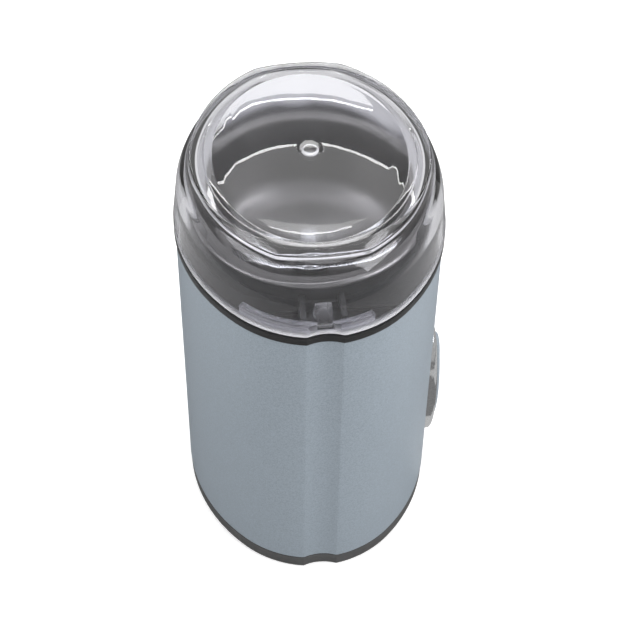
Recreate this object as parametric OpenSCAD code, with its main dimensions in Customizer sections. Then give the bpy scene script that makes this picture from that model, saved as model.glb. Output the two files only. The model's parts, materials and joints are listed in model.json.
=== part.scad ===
// Electric spice grinder: oval body with grip flutes, clear lid, side push-button,
// steel bowl with a two-wing blade, universal motor, and a lid interlock.
// Millimetres, +Z up. Origin: middle of the footprint on the table.
// The button is on the +X side, the interlock on the -Y side, the cord entry on +Y.

/* [Body] */
// Width of the body over its flat sides
body_w = 85; // [83:1:90]
// Depth of the body along its long axis
body_d = 103; // [100:1:108]
// Radius of the two end arcs of the oval
end_r = 36; // [34.5:0.5:37]
// Height of the painted shell
shell_h = 116.8; // [114:0.2:124]
// Wall of the painted shell
shell_t = 1.6; // [1.2:0.1:1.8]
// Radius of the grip flutes at both ends of the oval
flute_r = 15; // [12:0.5:20]
// Depth of the flutes at their middle
flute_depth = 1.6; // [1:0.1:1.8]
// Slip between pieces that slide into each other, on each side
slip = 0.15; // [0.1:0.05:0.25]

/* [Base] */
// Height of the feet under the base ring
foot_gap = 1; // [0.6:0.1:1.6]
// Visible height of the base ring
base_h = 5.3; // [4.8:0.1:7]
// Height of the shadow groove under the shell
seam_h = 0.5; // [0.3:0.1:0.8]
// Depth of the shadow groove
seam_depth = 0.7; // [0.4:0.1:0.9]
// Wall of the base ring and of its spigot
ring_t = 2; // [1.6:0.1:2.4]
// Height of the spigot inside the shell
spigot_h = 6; // [4:0.5:7]
// Thickness of the bottom plate
plate_t = 2; // [1.6:0.1:2.4]
// How far the bottom plate sits above the ring's lower edge
plate_rise = 1; // [0.8:0.1:1.4]
// Radius of the rubber feet
foot_r = 5; // [4:0.5:6]
// Radius of each foot's stem in the plate
foot_stem_r = 2; // [1.6:0.1:2.4]
// Distance of the feet in from the flat sides
foot_in_x = 17; // [15:0.5:19]
// Distance of the feet in from the ends of the oval
foot_in_y = 24; // [22:0.5:28]
// Width of each cooling slot
vent_w = 2.4; // [1.6:0.2:3]
// Length of each cooling slot
vent_l = 11; // [8:0.5:13]
// Distance of the middle of the cooling slots in from the flat sides
vent_in = 18; // [16:0.5:20]
// Number of cooling slots on each side
vent_count = 7; // [3:2:9]
// Radius of the screws that join the pieces
screw_r = 1.5; // [1.3:0.1:1.7]
// Radius of the base screws' heads
head_r = 3; // [2.6:0.1:3.2]
// Depth of the base screws' heads in the plate
head_sink = 0.9; // [0.7:0.1:1.2]
// Height of the bosses that the base screws hold in
boss_h = 9; // [7:0.5:11]

/* [Lid] */
// Height of the lid from its lower edge to its crest
lid_h = 26.2; // [24:0.2:32]
// Height of the steep skirt
skirt_h = 12.9; // [11:0.1:14]
// How far the lid's lower edge stands proud of the body
lid_proud = 0.5; // [0.3:0.1:0.6]
// How far the skirt leans in over its height
skirt_lean = 1.4; // [0.8:0.1:1.6]
// How far the round crest stands in from the flat sides of the body
crest_in = 6.6; // [6.2:0.1:7.2]
// Rounding of the crest towards the sides
crest_round = 1.5; // [1:0.1:2]
// Width of the crest beside the round hollow
crest_w = 1.5; // [0.8:0.1:2.5]
// How far the flat lands of the crest stand in from the ends of the body
land_in = 8.9; // [8:0.1:10]
// Width of each land
land_w = 33; // [28:1:38]
// How far the lands lie below the crest
land_drop = 1; // [0.5:0.1:1.5]
// Width of the sloped ring between the crest and the domed disc
slope_w = 6; // [4.5:0.1:8]
// Depth of the hollow at the edge of the disc
hollow_depth = 3.5; // [2.5:0.1:4]
// Rise of the dome over its edge
dome_rise = 4.5; // [3:0.1:5]
// Radius of the pip in the middle of the dome
pip_r = 2.4; // [1.6:0.1:3]
// Wall of the lid
lid_t = 2.6; // [2:0.1:2.8]
// Height of the lock rib inside the front of the skirt
lock_rib_h = 6; // [4:0.5:7]
// Thickness of the lock rib
lock_rib_t = 1.7; // [1.2:0.1:2]
// Width of the lug that presses the interlock pin
lug_w = 8; // [6:0.5:9]
// Travel that takes the lid clear of the bowl
lid_travel = 60; // [40:5:90]

/* [Collar] */
// Visible height of the collar ring
collar_h = 2.2; // [1.6:0.1:3]
// Height of the shadow gap under the lid
lid_gap_h = 1.1; // [0.8:0.1:1.6]
// Gap between the lid's flat sides and the neck that holds the bowl
neck_gap = 1.5; // [1.2:0.1:2]
// Height of the neck over the collar ring
neck_h = 7.4; // [6:0.1:9]
// Wall of the neck
neck_t = 1.5; // [1.2:0.1:1.7]
// Height of the collar's spigot inside the shell
collar_spigot_h = 8; // [6:0.5:10]
// Radius of the posts that carry the motor
post_r = 3.5; // [3.2:0.1:3.8]
// Angle of the posts round the end arcs
post_angle = 50; // [46:1:54]

/* [Bowl and blade] */
// Gap between the bowl and the neck round it
bowl_gap = 0.6; // [0.5:0.1:1.5]
// Depth of the bowl below its rim
bowl_depth = 31.3; // [28:0.1:34]
// Sheet thickness of the bowl
bowl_t = 0.7; // [0.5:0.1:0.9]
// Corner radius of the bowl's floor
bowl_corner = 8; // [5:0.5:11]
// Gap between the blade's tips and the wall of the bowl, before the tips are bent
tip_gap = 5.7; // [4.5:0.1:9]
// Thickness of the blade
blade_t = 1.4; // [1:0.1:2]
// Width of the blade at its wings
blade_w = 9; // [7:0.5:11]
// Bend of the wing tips
blade_bend = 20; // [12:1:24]
// Radius of the gasket under the bowl
gasket_r = 12; // [10:0.5:14]
// Thickness of the gasket
gasket_h = 1.5; // [1:0.1:2]

/* [Button] */
// Height of the button's middle over the table
button_z = 39.5; // [38:0.5:42]
// Width of the bezel along the depth of the body
bezel_w = 26; // [24:0.5:29]
// Height of the bezel
bezel_h = 51; // [48:0.5:54]
// Width of the bezel's rim round the cap
bezel_rim = 3.6; // [3:0.1:4]
// How far the bezel stands proud of the body
bezel_proud = 1.8; // [1.4:0.1:2.4]
// How far the cap stands proud of the body
cap_proud = 3.6; // [3.2:0.1:4.4]
// Travel of the button
button_travel = 2.5; // [1.5:0.1:2.6]
// Running clearance round the cap
cap_slip = 0.3; // [0.2:0.05:0.4]
// Depth of the button's guide behind the side of the body
guide_depth = 6.9; // [6.5:0.1:7.5]
// Wall of the guide's floor
guide_t = 1.5; // [1.2:0.1:1.8]
// Radius of the bore that the cap's stem slides in
stem_r = 2.6; // [2.2:0.1:3]
// Length of the switch body behind the button
switch_l = 20; // [16:1:24]
// Width of the switch body
switch_w = 8; // [6:0.5:9]
// Radius of the switch's plunger
plunger_r = 1.2; // [1:0.1:1.5]

/* [Motor] */
// Radius of the motor shaft
shaft_r = 3; // [2.5:0.1:3.3]
// Running clearance of the shaft in its bearings
bearing_slip = 0.03; // [0.02:0.01:0.05]
// Room between the flats of the stack and the side of the body, for the switch
side_room = 20; // [19.5:0.1:21]
// How far the round of the stack stands out over its flats
stack_round = 8; // [7.5:0.1:8.5]
// Gap between the switch and the stack
switch_gap = 0.7; // [0.5:0.1:1]
// Height of the room for the fan, between the stack and the upper bracket
fan_room = 18; // [17:0.5:20]
// Height of the room for the commutator, between the lower bracket and the stack
brush_room = 23; // [22:0.5:25]
// Height of the lower cushion's seat over the bottom plate
seat_h = 6.5; // [5:0.5:8]
// Share of the room between the shaft and the coils' outside that the coils fill
coil_fill = 0.255; // [0.22:0.005:0.27]
// How far the end turns of the coils stand out of the stack
coil_out = 6; // [5:0.5:7]
// Air gap between armature and stator
air_gap = 0.5; // [0.4:0.05:0.8]
// Depth of the middle of the armature's slots under its surface
slot_depth = 4; // [3.5:0.1:4.5]
// Width of the teeth between the slots, at their narrowest
tooth_w = 2; // [1.5:0.1:2.5]
// Number of armature slots
armature_slots = 12; // [8:1:14]
// Radius of the commutator
commutator_r = 10.5; // [9.5:0.1:11]
// Length of the commutator's copper
commutator_h = 10; // [9:0.5:12]
// Number of fan blades
fan_blades = 10; // [6:1:14]
// Radius of the cooling fan
fan_r = 22; // [19:0.5:22.5]
// Radius of the motor's through-bolts
bolt_r = 1.5; // [1.2:0.1:1.7]
// Distance of the through-bolts in from the flats of the stack
bolt_in = 5.5; // [5:0.1:6]
// Distance of the through-bolts in from the round of the stack
bolt_edge = 3.5; // [3:0.1:4]
// Radius of the bearings' outside
bearing_r = 6; // [5.5:0.1:6.5]
// Length of each bearing
bearing_h = 8; // [6:0.5:9]
// Thickness of the brackets' plates
bracket_t = 3; // [2.5:0.1:3.5]
// Height of the rubber dampers
damper_h = 4; // [3:0.5:5]
// Width of the carbon brushes
brush_w = 6; // [5:0.5:7]
// Length of the brush holders
holder_l = 14; // [12:0.5:15]

/* [Interlock] */
// Radius of the interlock pin
pin_r = 1.6; // [1.3:0.1:1.8]
// Travel of the interlock pin when the lid is lifted
pin_travel = 2.5; // [1.5:0.1:3]
// Distance of the pin in from the end of the oval
pin_in = 8; // [7.6:0.1:8.4]
// Length of the pin's guide below the top of the shell
pin_guide_l = 16; // [13:0.5:18]

/* [Wiring] */
// Distance of the terminal block and the capacitor in from the ends of the oval
wiring_in = 12; // [11:0.5:14]
// Width of the terminal block
terminal_w = 20; // [16:1:22]
// Thickness of the terminal block
terminal_t = 8; // [6:0.5:9]
// Height of the terminal block
terminal_h = 9; // [7:0.5:11]
// Width of the capacitor
capacitor_w = 18; // [14:1:20]
// Thickness of the capacitor
capacitor_t = 8; // [6:0.5:9]
// Height of the capacitor
capacitor_h = 11; // [9:0.5:13]
// Radius of the cord's hole in the shell
cord_hole_r = 4; // [3.6:0.1:4.4]
// Wall of the cord entry round the cord
cord_sleeve_t = 1.35; // [1:0.05:1.6]
// Height of the cord entry over the base ring's spigot
cord_rise = 8; // [7:0.5:12]

/* [Hidden] */
$fn = 96;
EPS = 0.01;

// Oval outline: two end arcs and two side arcs that meet without a corner.
half_w = body_w / 2;
half_d = body_d / 2;
end_y = half_d - end_r;
side_r = side_arc_r(body_w, body_d, end_r);
side_x = side_r - half_w;

// Screws and their seats.
screw_slip = 0.4;
damper_slip = 0.7;
plate_in = 0.4;
cushion_bore = 4;

// Heights, from the table up.
ring_z = foot_gap;
plate_z = ring_z + plate_rise;
plate_top = plate_z + plate_t;
shell_z = ring_z + base_h;
shell_top = shell_z + shell_h;
collar_top = shell_top + collar_h;
lid_z = collar_top + lid_gap_h + 0.1;
skirt_top = lid_z + skirt_h;
crest_z = lid_z + lid_h;
disc_z = crest_z - hollow_depth;
crest_r = half_w - crest_in;
hollow_r = crest_r - crest_w;
land_reach = half_d - land_in;
disc_r = hollow_r - slope_w;
dome_ball = (disc_r * disc_r + dome_rise * dome_rise) / (2 * dome_rise);
lid_in = lid_t - lid_proud + skirt_lean;
lid_cone_r = half_w - lid_in - 1;
ceiling_z = disc_z - lid_t;
neck_top = collar_top + neck_h;
bowl_floor = neck_top - bowl_depth;
neck_r = half_w - lid_in - neck_gap;
bowl_r = neck_r - neck_t - bowl_gap - bowl_t;
blade_r = bowl_r - tip_gap;

// Posts and base bosses run into the inner wall, wherever that wall is at their angle.
inner_in = shell_t + slip;
post_sink = 0.6;
post_on_end = post_angle >= atan2(end_y, side_x);
post_reach = (post_on_end ? end_r : side_r) - inner_in - ring_t - post_r + post_sink;
post_x = post_reach * cos(post_angle) - (post_on_end ? 0 : side_x);
post_y = post_reach * sin(post_angle) + (post_on_end ? end_y : 0);

// Bowl underside, gasket, and the motor stack hung under it.
bearing_top = bowl_floor - gasket_h;
bracket_z = bearing_top - bearing_h - bracket_t - 0.8;
bracket_top = bracket_z + bracket_t;
pad_r = post_r + 0.9;
post_z = bracket_top + damper_h;
cup_t = 3;
cup_r = bearing_r + cup_t;
cup_floor = 1.6;
cushion_h = 5;
cushion_z = plate_top + seat_h;
low_bearing_z = cushion_z + cushion_h + cup_floor;
low_bracket_z = low_bearing_z + bearing_h - bracket_t;
low_bracket_top = low_bracket_z + bracket_t;
stack_z = low_bracket_top + brush_room;
stack_top = bracket_z - fan_room;
stack_h = stack_top - stack_z;
fan_top_gap = 1.5;
fan_h = fan_room - coil_out - fan_top_gap - 2.5;
stack_flat = half_w - side_room;
stack_r = stack_flat + stack_round;
bolt_x = stack_flat - bolt_in;
bolt_y = sqrt(pow(stack_r - bolt_edge, 2) - pow(bolt_x, 2));
pillar_r = bolt_r + 1.3;
coil_gap = 1.2;
coil_cover = 1.1;
slot_mouth = 1.4;
winding_h = 6;
coil_r = stack_flat - coil_cover;
coil_w = coil_fill * (coil_r - shaft_r);
pole_r = coil_r - coil_w - coil_gap;
armature_r = pole_r - air_gap;
slot_r = (2 * (armature_r - slot_depth) * sin(180 / armature_slots) - tooth_w) / 2;
commutator_z = low_bracket_top + 4;
brush_z = commutator_z + 0.5;
brush_h = commutator_h - 3;
brush_l = 8;
holder_t = 1.4;

// Blade stack on the shaft.
floor_slip = 1.5;
spacer_r = shaft_r + 3;
spacer_z = bowl_floor + bowl_t + 0.6;
spacer_h = 6.4;
blade_z = spacer_z + spacer_h;
thread_r = shaft_r - 0.5;
nut_z = blade_z + blade_t + 0.8;
nut_h = 5;

// Button, measured along X from the side of the body.
bezel_x = half_w + bezel_proud;
cap_x = half_w + cap_proud;
bezel_end_r = bezel_w / 2 - 4.5;
bezel_back = 8;
sleeve_in = 1.4;
hole_in = bezel_rim - sleeve_in - slip;
sleeve_back = half_w - guide_depth;
cap_back = sleeve_back + 0.4;
spring_wire = 0.35;
spring_solid = 3.2;
guide_floor = cap_back - button_travel - spring_solid;
guide_back = guide_floor - guide_t;
stem_end = guide_back + button_travel + 0.3;
switch_x = stack_flat + switch_gap;
switch_wall = 0.7;
switch_bore_x = switch_x + switch_wall;
plunger_gap = 0.2;
bore_gap = 0.05;

// Interlock: pin below the lid's lug.
pin_y = half_d - pin_in;
lug_z = collar_top + 2.2;
pin_top = lug_z - 0.3;
pin_foot = shell_top - pin_guide_l;
pin_guide_r = pin_r + 1.6;
spring_seat = pin_foot - 4.5;

// Cord entry at the back, in the middle of the flute.
cord_y = half_d - flute_depth;
cord_z = shell_z + spigot_h + cord_rise;
cord_rim_r = cord_hole_r + 1.2;
cord_rim_t = 1.3;

// ---- Shapes that repeat ----

// One arc sector of a ring of radius r, from angle a0 to a1, as a 2D shape.
module sector(r, a0, a1) {
    reach = r * 1.5;
    intersection() {
        circle(r = r);
        polygon([[0, 0], [reach * cos(a0), reach * sin(a0)],
                 [reach * cos((a0 + a1) / 2), reach * sin((a0 + a1) / 2)],
                 [reach * cos(a1), reach * sin(a1)]]);
    }
}

// Radius of the side arcs of a four-arc oval, w wide and d deep, with end arcs of radius r.
function side_arc_r(w, d, r) =
    let (end_c = d / 2 - r) (w * w / 4 + end_c * end_c - r * r) / (w - 2 * r);

// The part of such an oval between its side arcs, inset by e, up to a distance reach.
module waist(w, d, r, e, reach) {
    arc_r = side_arc_r(w, d, r);
    intersection() {
        translate([w / 2 - arc_r, 0]) circle(r = arc_r - e);
        translate([arc_r - w / 2, 0]) circle(r = arc_r - e);
        square([w + 1, 2 * reach], center = true);
    }
}

// The whole four-arc oval in 2D, inset by e.
module oval(w, d, r, e = 0) {
    end_c = d / 2 - r;
    join_y = end_c + (r - e) * end_c / (side_arc_r(w, d, r) - r);
    waist(w, d, r, e, join_y);
    for (a = [0, 180])
        rotate(a) intersection() {
            translate([0, end_c]) circle(r = r - e);
            translate([-w / 2, join_y]) square([w, d]);
        }
}

// The body's plan, inset by e, with the grip flutes.
module plan(e = 0, fluted = true) {
    difference() {
        oval(body_w, body_d, end_r, e);
        if (fluted)
            for (s = [-1, 1])
                translate([0, s * (half_d - flute_depth + flute_r)]) circle(r = flute_r + e);
    }
}

// A wall that follows the plan, from z0 to z1, outer face inset by e, thickness t.
module plan_wall(z0, z1, e, t) {
    translate([0, 0, z0]) linear_extrude(z1 - z0) difference() {
        plan(e);
        plan(e + t);
    }
}

module tube(r, bore, h) {
    difference() {
        cylinder(r = r, h = h);
        translate([0, 0, -1]) cylinder(r = bore, h = h + 2);
    }
}

// A coil spring as separate closed rings, which stand in for its turns.
module spring_rings(r, wire, length, turns) {
    pitch = (length - 2 * wire) / (turns - 1);
    for (i = [0 : turns - 1])
        translate([0, 0, wire + i * pitch])
            rotate_extrude() translate([r, 0]) circle(r = wire, $fn = 24);
}

// A screw with its head at z = 0, pointing up.
module screw(head_r, head_h, r, length) {
    difference() {
        union() {
            translate([0, 0, -head_h]) cylinder(r = head_r, h = head_h);
            cylinder(r = r, h = length);
        }
        for (a = [0, 90])
            rotate(a) translate([-head_r * 0.6, -0.3, -head_h - 1]) cube([head_r * 1.2, 0.6, 1.8]);
    }
}

// Places the children at the four post positions.
module at_posts() {
    for (sx = [-1, 1], sy = [-1, 1])
        translate([sx * post_x, sy * post_y, 0]) children();
}

module at_bolts() {
    for (sx = [-1, 1], sy = [-1, 1]) translate([sx * bolt_x, sy * bolt_y, 0]) children();
}

// A flat shape standing in the YZ plane, from x0 to x1, centred on the button.
module along_x(x0, x1) {
    translate([x0, 0, button_z]) rotate([90, 0, 90]) linear_extrude(x1 - x0) children();
}

function arc_points(cx, cy, r, a0, a1) =
    [for (i = [0 : 15]) let (a = a0 + (a1 - a0) * i / 16) [cx + r * cos(a), cy + r * sin(a)]];

// The bezel's four-arc oval, inset by e, in short flats.
module bezel_plan(e = 0) {
    end_c = bezel_h / 2 - bezel_end_r;
    arc_r = side_arc_r(bezel_w, bezel_h, bezel_end_r);
    side_c = arc_r - bezel_w / 2;
    meet = atan2(end_c, side_c);
    polygon(concat(arc_points(-side_c, 0, arc_r - e, -meet, meet),
                   arc_points(0, end_c, bezel_end_r - e, meet, 180 - meet),
                   arc_points(side_c, 0, arc_r - e, 180 - meet, 180 + meet),
                   arc_points(0, -end_c, bezel_end_r - e, 180 + meet, 360 - meet)));
}

// ---- Outer pieces ----

// Levels of the lid's outside: [inset at the flat sides, inset at the ends, z].
function lid_levels() = concat(
    [[-lid_proud, -lid_proud, lid_z]],
    [for (i = [0 : 3]) let (t = i / 4, lean = skirt_lean - lid_proud, bow = pow(t, 1.25))
        [lean + (crest_in - crest_round - lean) * bow, lean + (land_in - lean) * bow,
         skirt_top + (crest_z - land_drop - skirt_top) * t]]);

// Plan of the crest's lower edge: a circle with a land at each end.
module crest_plan() {
    hull() {
        circle(r = crest_r + crest_round);
        intersection() {
            circle(r = land_reach);
            square([land_w, 2 * land_reach], center = true);
        }
    }
}

// The lid's outside as one convex solid.
module lid_outside() {
    hull() {
        for (p = lid_levels())
            translate([0, 0, p[2] - EPS]) linear_extrude(EPS)
                oval(body_w - 2 * p[0], body_d - 2 * p[1], end_r - (p[0] + p[1]) / 2);
        translate([0, 0, crest_z - land_drop - EPS]) linear_extrude(EPS) crest_plan();
        translate([0, 0, crest_z - EPS]) cylinder(r = crest_r, h = EPS);
    }
}

// Height of the dome's surface at distance x from the axis.
function dome_z(x) = disc_z + dome_rise - dome_ball + sqrt(dome_ball * dome_ball - x * x);

module lid() {
    color([0.86, 0.88, 0.9, 0.45]) {
        difference() {
            lid_outside($fn = 64);
            // Round hollow in the top with the domed disc in it.
            rotate_extrude() polygon(concat(
                [[0, crest_z + 1]],
                [for (i = [0 : 8]) [disc_r * i / 8, dome_z(disc_r * i / 8)]],
                [[hollow_r, crest_z], [hollow_r, crest_z + 1]]));
            // Space inside: straight within the skirt, conical above it.
            translate([0, 0, lid_z - 1]) linear_extrude(skirt_top - lid_z + 1)
                oval(body_w, body_d, end_r, lid_in);
            translate([0, 0, skirt_top - 1])
                cylinder(r1 = lid_cone_r, r2 = disc_r, h = ceiling_z - skirt_top + 1);
            for (s = [-1, 1])
                translate([0, s * (half_d - flute_depth + flute_r), lid_z - 1])
                    cylinder(r = flute_r, h = skirt_h * 0.8);
        }
        translate([0, 0, disc_z + dome_rise - 1.5]) cylinder(r = pip_r, h = 2.5);
        // Lug that presses the interlock pin down, and the lock rib beside it.
        translate([-lug_w / 2, lid_in - half_d - 1, lug_z])
            cube([lug_w, pin_in - lid_in + 4, lock_rib_h]);
        translate([0, -end_y, lid_z]) rotate(-90) linear_extrude(lock_rib_h) difference() {
            sector(end_r - lid_in + 0.5, -40, 12);
            circle(r = end_r - lid_in + 0.5 - lock_rib_t);
        }
    }
}

module collar() {
    color([0.09, 0.08, 0.08]) {
        difference() {
            union() {
                plan_wall(shell_top, collar_top, -lid_proud, ring_t + lid_proud + shell_t);
                plan_wall(collar_top - 1, collar_top + lid_gap_h, 0.7, 1.2);
                plan_wall(shell_top - collar_spigot_h, shell_top + 1, inner_in, ring_t);
                translate([0, 0, collar_top - 2]) linear_extrude(2) plan(inner_in);
                cylinder_neck();
                translate([0, 0, post_z]) at_posts() cylinder(r = post_r, h = collar_top - 1 - post_z);
                // Boss that guides the interlock pin, with two cheeks for the lid's lug.
                translate([0, -pin_y, pin_foot])
                    cylinder(r = pin_guide_r, h = collar_top - pin_foot);
                for (s = [-1, 1])
                    translate([s * (lug_w / 2 + 2) - 1, -pin_y - 1.8, collar_top - 1])
                        cube([2, 7.6, 5]);
            }
            translate([0, 0, post_z - 1]) cylinder(r = neck_r - neck_t, h = neck_top - post_z + 2);
            translate([0, 0, post_z - 1]) at_posts() cylinder(r = screw_r, h = boss_h + 5);
            translate([0, -pin_y, pin_foot - 1])
                cylinder(r = pin_r + bore_gap, h = neck_top - pin_foot);
        }
    }
}

module cylinder_neck() {
    translate([0, 0, collar_top - 2]) cylinder(r = neck_r, h = neck_top - collar_top + 2);
}

module body_shell() {
    color([0.6, 0.65, 0.7])
        difference() {
            plan_wall(shell_z, shell_top, 0, shell_t);
            along_x(half_w - bezel_back, half_w + 2)
                waist(bezel_w, bezel_h, bezel_end_r, hole_in, bezel_h / 2 - hole_in);
            translate([0, half_d, cord_z]) rotate([90, 0, 0])
                cylinder(r = cord_hole_r, h = flute_depth + 4 * shell_t);
        }
}

module base_ring() {
    color([0.26, 0.26, 0.27])
        difference() {
            union() {
                plan_wall(ring_z, shell_z - seam_h, 0.2, ring_t + shell_t);
                plan_wall(shell_z - seam_h - EPS, shell_z, seam_depth, ring_t + shell_t - seam_depth);
                plan_wall(plate_top, shell_z + spigot_h, inner_in, ring_t);
                translate([0, 0, plate_top]) at_posts() cylinder(r = post_r, h = boss_h);
            }
            translate([0, 0, plate_top - 1]) at_posts() cylinder(r = screw_r, h = boss_h);
            translate([0, 0, ring_z - 1]) linear_extrude(plate_top - ring_z + 1)
                plan(ring_t + plate_in);
        }
}

module bottom_plate() {
    color([0.16, 0.16, 0.17])
        difference() {
            union() {
                translate([0, 0, plate_z]) linear_extrude(plate_t)
                    plan(ring_t + plate_in + slip);
                translate([0, 0, plate_top - 1]) tube(cup_r + 1.5, cushion_bore, seat_h + 1);
            }
            translate([0, 0, plate_z - 1]) at_posts() {
                cylinder(r = screw_r + screw_slip, h = plate_t + 2);
                cylinder(r = head_r + screw_slip, h = head_sink + 1);
            }
            translate([0, 0, plate_z - 1]) at_feet() cylinder(r = foot_stem_r, h = plate_t + 2);
            for (s = [-1, 1], i = [0 : vent_count - 1])
                translate([s * (half_w - vent_in) - vent_l / 2,
                           (2 * i - vent_count + 0.5) * vent_w, plate_z - 1])
                    cube([vent_l, vent_w, plate_t + 2]);
        }
}

module at_feet() {
    for (sx = [-1, 1], sy = [-1, 1])
        translate([sx * (half_w - foot_in_x), sy * (half_d - foot_in_y), 0]) children();
}

module rubber_feet() {
    color([0.08, 0.08, 0.08])
        at_feet() {
            cylinder(r = foot_r, h = plate_z);
            cylinder(r = foot_stem_r - bore_gap, h = plate_top + 0.2);
            translate([0, 0, plate_top]) cylinder(r = foot_stem_r + 0.7, h = 1);
        }
}

module base_screws() {
    color([0.6, 0.6, 0.62])
        translate([0, 0, plate_z + head_sink]) at_posts()
            screw(head_r, head_sink - 0.1, screw_r, boss_h - 1);
}

// ---- Button ----

module button_bezel() {
    color([0.85, 0.86, 0.88]) {
        difference() {
            union() {
                difference() {
                    along_x(half_w - bezel_back, bezel_x) bezel_plan();
                    // The back follows the side of the body in short flats that clear it.
                    translate([-side_x, 0, shell_z]) linear_extrude(shell_h)
                        polygon(concat([[0, 0]], [for (i = [-10 : 10])
                            side_r / cos(1) * [cos(2 * i), sin(2 * i)]]));
                }
                along_x(sleeve_back, bezel_x - 0.6) bezel_plan(bezel_rim - sleeve_in);
            }
            along_x(sleeve_back - 1, bezel_x + 1) bezel_plan(bezel_rim);
        }
    }
}

module button_cap() {
    color([0.6, 0.65, 0.7]) {
        along_x(cap_back, cap_x - 1) bezel_plan(bezel_rim + cap_slip);
        along_x(cap_x - 2, cap_x) bezel_plan(bezel_rim + cap_slip + 0.9);
        along_x(stem_end, cap_back + 2) circle(r = stem_r - cap_slip);
    }
}

module button_spring() {
    color([0.75, 0.75, 0.77])
        translate([guide_floor + 0.05, 0, button_z]) rotate([0, 90, 0])
            spring_rings(stem_r + 1.6, spring_wire, cap_back - guide_floor - 0.1, 4);
}

module button_guide() {
    color([0.14, 0.14, 0.15])
        difference() {
            along_x(guide_back, sleeve_back) bezel_plan(bezel_rim - sleeve_in);
            along_x(guide_floor, sleeve_back + 1) bezel_plan(bezel_rim);
            along_x(guide_floor - 5, sleeve_back) circle(r = stem_r);
        }
}

module power_switch() {
    color([0.2, 0.2, 0.22])
        difference() {
            translate([switch_x, -switch_w / 2, button_z - switch_l / 2])
                cube([guide_back - switch_x, switch_w, switch_l]);
            along_x(switch_bore_x, guide_floor) circle(r = plunger_r + bore_gap);
        }
}

module switch_plunger() {
    color([0.75, 0.15, 0.12])
        along_x(switch_bore_x + button_travel + 0.4, stem_end - plunger_gap)
            circle(r = plunger_r);
}

// ---- Interlock ----

module interlock_pin() {
    color([0.8, 0.8, 0.78])
        translate([0, -pin_y, pin_foot + 1]) cylinder(r = pin_r, h = pin_top - pin_foot - 1);
}

module interlock_spring() {
    color([0.75, 0.75, 0.77])
        translate([0, -pin_y, spring_seat])
            spring_rings(pin_r - 0.5, 0.3, pin_foot + 0.9 - spring_seat, 4);
}

module interlock_switch() {
    color([0.2, 0.2, 0.22])
        difference() {
            translate([-6, -pin_y - pin_guide_r, pin_foot - 9])
                cube([12, 2 * pin_guide_r, 9]);
            translate([0, -pin_y, spring_seat - 0.5]) cylinder(r = pin_r + bore_gap, h = 6);
        }
}

// ---- Bowl and blade ----

module grinding_bowl() {
    color([0.78, 0.79, 0.8])
        rotate_extrude() difference() {
            union() {
                bowl_section(bowl_r + bowl_t, bowl_corner + bowl_t, bowl_floor);
                translate([bowl_r, neck_top]) square([neck_r - bowl_r, bowl_t]);
                translate([neck_r - 0.1, neck_top + bowl_t - 0.35]) circle(r = 0.8, $fn = 32);
            }
            bowl_section(bowl_r, bowl_corner, bowl_floor + bowl_t);
            translate([neck_r - 2, neck_top - 2]) square([5, 2]);
            translate([-1, bowl_floor - 1]) square([1 + shaft_r + floor_slip, bowl_t + 4]);
        }
}

// Half section of the space inside a bowl of radius r with its floor at z.
module bowl_section(r, corner, z) {
    translate([0, z]) square([r - corner, corner + 1]);
    translate([r - corner, z + corner]) intersection() {
        circle(r = corner);
        translate([0, -corner]) square([corner, corner]);
    }
    translate([0, z + corner]) square([r, neck_top + bowl_t - z - corner]);
}

module bowl_gasket() {
    color([0.12, 0.12, 0.12])
        translate([0, 0, bearing_top]) tube(gasket_r, shaft_r + floor_slip, gasket_h);
}

// A flat strip with one wing bent up and the other down, and slanted tips.
module blade() {
    flat_l = blade_r * 0.52;
    wing_x = (blade_r - flat_l) * cos(blade_bend);
    wing_z = (blade_r - flat_l) * sin(blade_bend);
    tip_x = flat_l + wing_x;
    color([0.8, 0.81, 0.82])
        translate([0, 0, blade_z]) difference() {
            union() {
                cylinder(r = spacer_r + 0.6, h = blade_t);
                intersection() {
                    rotate([90, 0, 0]) linear_extrude(blade_w, center = true)
                        polygon([[-tip_x - wing_x, -2 * wing_z], [-flat_l, 0], [flat_l, 0],
                                 [tip_x + wing_x, 2 * wing_z],
                                 [tip_x + wing_x, 2 * wing_z + blade_t], [flat_l, blade_t],
                                 [-flat_l, blade_t],
                                 [-tip_x - wing_x, blade_t - 2 * wing_z]]);
                    translate([0, 0, -2 * wing_z]) linear_extrude(4 * wing_z + blade_t)
                        polygon([[tip_x - 3, -blade_w], [tip_x, blade_w / 5],
                                 [tip_x - 6, blade_w], [3 - tip_x, blade_w],
                                 [-tip_x, -blade_w / 5], [6 - tip_x, -blade_w]]);
                }
            }
            translate([0, 0, -1]) cylinder(r = thread_r + 0.02, h = blade_t + 2);
        }
}

module blade_spacer() {
    color([0.15, 0.15, 0.15])
        translate([0, 0, spacer_z]) tube(spacer_r, shaft_r + 0.02, blade_z - spacer_z);
}

module blade_nut() {
    color([0.7, 0.7, 0.72])
        difference() {
            union() {
                translate([0, 0, nut_z - 0.8]) cylinder(r = 5.2, h = 0.8);
                translate([0, 0, nut_z]) cylinder(r = 4.6, h = nut_h * 0.6, $fn = 6);
                translate([0, 0, nut_z + nut_h * 0.6]) cylinder(r1 = 3.9, r2 = 2.2, h = nut_h * 0.4);
            }
            translate([0, 0, nut_z - 2]) cylinder(r = thread_r + 0.02, h = nut_h + 1);
        }
}

// ---- Motor ----

module motor_shaft() {
    color([0.66, 0.66, 0.68]) {
        translate([0, 0, low_bearing_z]) cylinder(r = shaft_r, h = blade_z - low_bearing_z);
        translate([0, 0, blade_z - EPS]) cylinder(r = thread_r, h = nut_z - blade_z + nut_h - 1.2);
    }
}

module upper_bearing() {
    color([0.72, 0.52, 0.3])
        translate([0, 0, bearing_top - bearing_h])
            tube(bearing_r, shaft_r + bearing_slip, bearing_h);
}

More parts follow.
